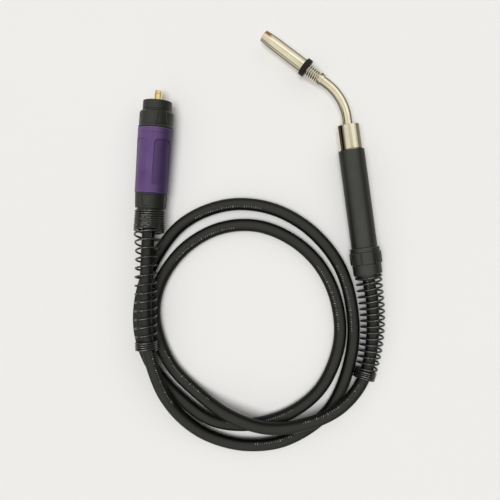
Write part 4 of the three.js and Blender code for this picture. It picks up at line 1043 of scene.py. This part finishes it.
plug_body = turned("plug_body_turned", connector_place, [
    (3.4, 40, 0.2), (18, 40, 0.5), (18, 87, 0.4), (14.4, 87), (14.4, 94.9),
    (17.3, 94.9, 0.3), (17.3, 98.9, 0.3), (13.5, 98.9), (13.5, 103.9, 0.6), (5.4, 103.9, 0.2),
    (5.4, 93.9), (3.4, 93.9),
], sides=96)
signal_places = {
    body: connector_place @ Matrix.Translation((side * SIGNAL_ACROSS, 0, -SIGNAL_BELOW))
    for body, side in (("signal_a", -1), ("signal_b", 1))
}
bored(plug_body, [
    turned(body + "_hole", place, [(0, 92.6), (2, 92.6), (2, 120), (0, 120)], sides=40)
    for body, place in signal_places.items()
])
fitted(plug_body, brass, "brass", "plug_body")

centre_pin = turned("centre_pin_turned", connector_place, [
    (2.6, 94.2, 0.2), (5.1, 94.2, 0.3), (5.1, 118.8, 0.2), (4, 118.8), (4, 121.4),
    (5.1, 121.4, 0.2), (5.1, 134.1, 0.35), (2.6, 134.1, 0.2),
], sides=80)
pin_nose = turned("pin_nose_turned", connector_place, [
    (1.2, 129.1), (2.3, 129.1, 0.2), (2.3, 134.4), (4.9, 134.4, 0.3), (4.9, 138.8, 2),
    (1.2, 138.8, 0.3),
], sides=80)
fitted(centre_pin, brass, "brass", "centre_pin")
fitted(pin_nose, brass, "brass", "pin_nose")

soft_rubber = moulded_plastic("seal_rubber", (0.006, 0.006, 0.006), (0.012, 0.012, 0.0115), 0.5)
seal_round = [math.radians(a) for a in range(0, 360, 24)]
pin_seal = turned("pin_seal_ring", connector_place, [
    (5.3 + math.cos(a), 120.1 + math.sin(a)) for a in seal_round
], sides=72)
fitted(pin_seal, soft_rubber, "seal_rubber", "pin_seal")

for body, place in signal_places.items():
    signal_pin = turned(body + "_pin_turned", place, [
        (0, SIGNAL_FROM), (SIGNAL_RADIUS, SIGNAL_FROM, 0.2), (SIGNAL_RADIUS, SIGNAL_TO, 0.8),
        (0, SIGNAL_TO),
    ], sides=40)
    fitted(signal_pin, brass, "brass", "signal_pin_" + body[-1], body=body)


# ---- Coupling nut and its threaded ring ----
# The nut that screws the connector onto the wire feeder: black plastic with four keystone grips
# round its wide rear part, turning in front of the housing, over a brass ring threaded inside.
NUT_REAR = 87.6
NUT_SHOULDER = 110
NUT_FRONT = 123.6
COUPLING_RADIUS = 22.7
GRIP_DEPTH = 1.05
THREAD_PITCH = 1.5
THREAD_FLAT = 0.2
THREAD_CREST = 16.1
THREAD_ROOT = 16.75

grip_pocket = keystone(8.2, 4.2, 91.2, 111, 28)


def coupling_surface(radius, angle, y):
    floor = COUPLING_RADIUS - GRIP_DEPTH
    sunk = grip_pocket(COUPLING_RADIUS, angle, y)
    return np.where(radius > floor, radius + (floor - radius) * sunk, radius)


coupling_nut = turned("coupling_nut_moulded", connector_place, [
    (14.7, NUT_REAR, 0.2), (23.5, NUT_REAR, 1), (23.4, 89.2, 0.5), (COUPLING_RADIUS, 90.6, 0.5),
    (COUPLING_RADIUS, NUT_SHOULDER - 2, 0.7), (20.7, NUT_SHOULDER, 0.6), (19.4, NUT_SHOULDER),
    (19.4, 111.5), (19.1, 111.8), (19.1, 112), (19.4, 112.3), (19.4, NUT_FRONT, 1.2),
    (17.9, NUT_FRONT, 0.3), (17.9, 94.6), (14.7, 94.6),
], sides=420, carve=coupling_surface, carve_above=21, fine=0.4)
fitted(coupling_nut, connector_plastic, "black_plastic", "coupling_nut", body="coupling")

thread = []
for y in np.arange(101.2, 122, THREAD_PITCH)[::-1]:
    thread += [
        (THREAD_CREST, y + THREAD_FLAT), (THREAD_CREST, y - THREAD_FLAT),
        (THREAD_ROOT, y - THREAD_PITCH / 2),
    ]
coupling_ring = turned("coupling_ring_threaded", connector_place, [
    (17.6, 99.2, 0.3), (17.6, 123.3, 0.3), (16.6, 123.3, 0.2), *thread, (THREAD_CREST, 99.2),
])
fitted(coupling_ring, brass, "brass", "coupling_ring", body="coupling")


# ---- The table and the light ----
# None of this is part of the torch: a pale table top, broad soft light from above, a little to the
# left, and a room with pale walls and three pale panels, dim straight up where the camera hangs.
TABLE_REACH = 12
LIGHT_POWER = 1.88
LIGHT_SPREAD = math.radians(30)
LIGHT_LEAN = (math.radians(4), math.radians(-9), 0)
BACKDROP = (0.86, 0.855, 0.84)

table_corners = TABLE_REACH * np.array([(-1, -1, 0), (1, -1, 0), (1, 1, 0), (-1, 1, 0)])
table_top = mesh_piece("table_top", table_corners, [(0, 1, 2, 3)])
pale_top = Finish("pale_table", Roughness=0.85, IOR=1.3)
mottle = pale_top.noise(3.0, 3.0)
pale_top.set(Base_Color=pale_top.mixed(mottle, (0.85, 0.849, 0.845), (0.868, 0.867, 0.863)))
pale_top.on(table_top)

lamp = bpy.data.lights.new("window_light", "SUN")
lamp.energy = LIGHT_POWER
lamp.angle = LIGHT_SPREAD
lamp.color = (1.0, 0.997, 0.99)
window_light = bpy.data.objects.new("window_light", lamp)
window_light.rotation_euler = LIGHT_LEAN
window_light.visible_glossy = False
bpy.context.collection.objects.link(window_light)

world = bpy.data.worlds.new("room")
bpy.context.scene.world = world
room = Nodes(world)


def ray(kind):
    """1 for rays of that kind, 0 for all others."""
    return room.add("LightPath", output=f"Is {kind} Ray")


side, front, height = room.parts(room.add("TexCoord", output="Generated"))
ceiling = height.between(0.1, 0.75) * 0.42 - height.between(0.95, 0.99) * 0.15
walls = abs(side * 0.72 + front * 0.7).between(0.62, 0.78)
left_panel = (height * 0.88 - side * 0.46 + front * 0.1).between(0.8, 0.97)
right_panel = (side * 0.62 + front * 0.16 + height * 0.77).between(0.93, 0.985)
far_panel = (side * 0.18 + front * 0.41 + height * 0.89).between(0.93, 0.985)
glow = 0.07 + ceiling + walls * 0.45 + left_panel * 0.36 + right_panel * 0.5 + far_panel * 0.65
shade = room.mixed(glow.between(0.0, 1.1), (0.92, 0.86, 0.75), (1.0, 0.995, 0.98))
strength = glow * (1 - ray("Diffuse") * 0.33)
lit = room.add("Background", sockets={"Color": shade, "Strength": strength})
plain = room.add("Background", sockets={"Color": BACKDROP, "Strength": 1.0})
# The camera sees a plain backdrop, and so does what is mirrored close over the table.
mirrored = (ray("Glossy") + ray("Transmission")) * height.between(0.06, 0.0)
seen = ray("Camera") + mirrored
room.feed(
    world.node_tree.nodes["World Output"].inputs["Surface"],
    room.add("MixShader", sockets={0: seen, 1: lit, 2: plain}))


bpy.context.scene.view_settings.view_transform = "Standard"
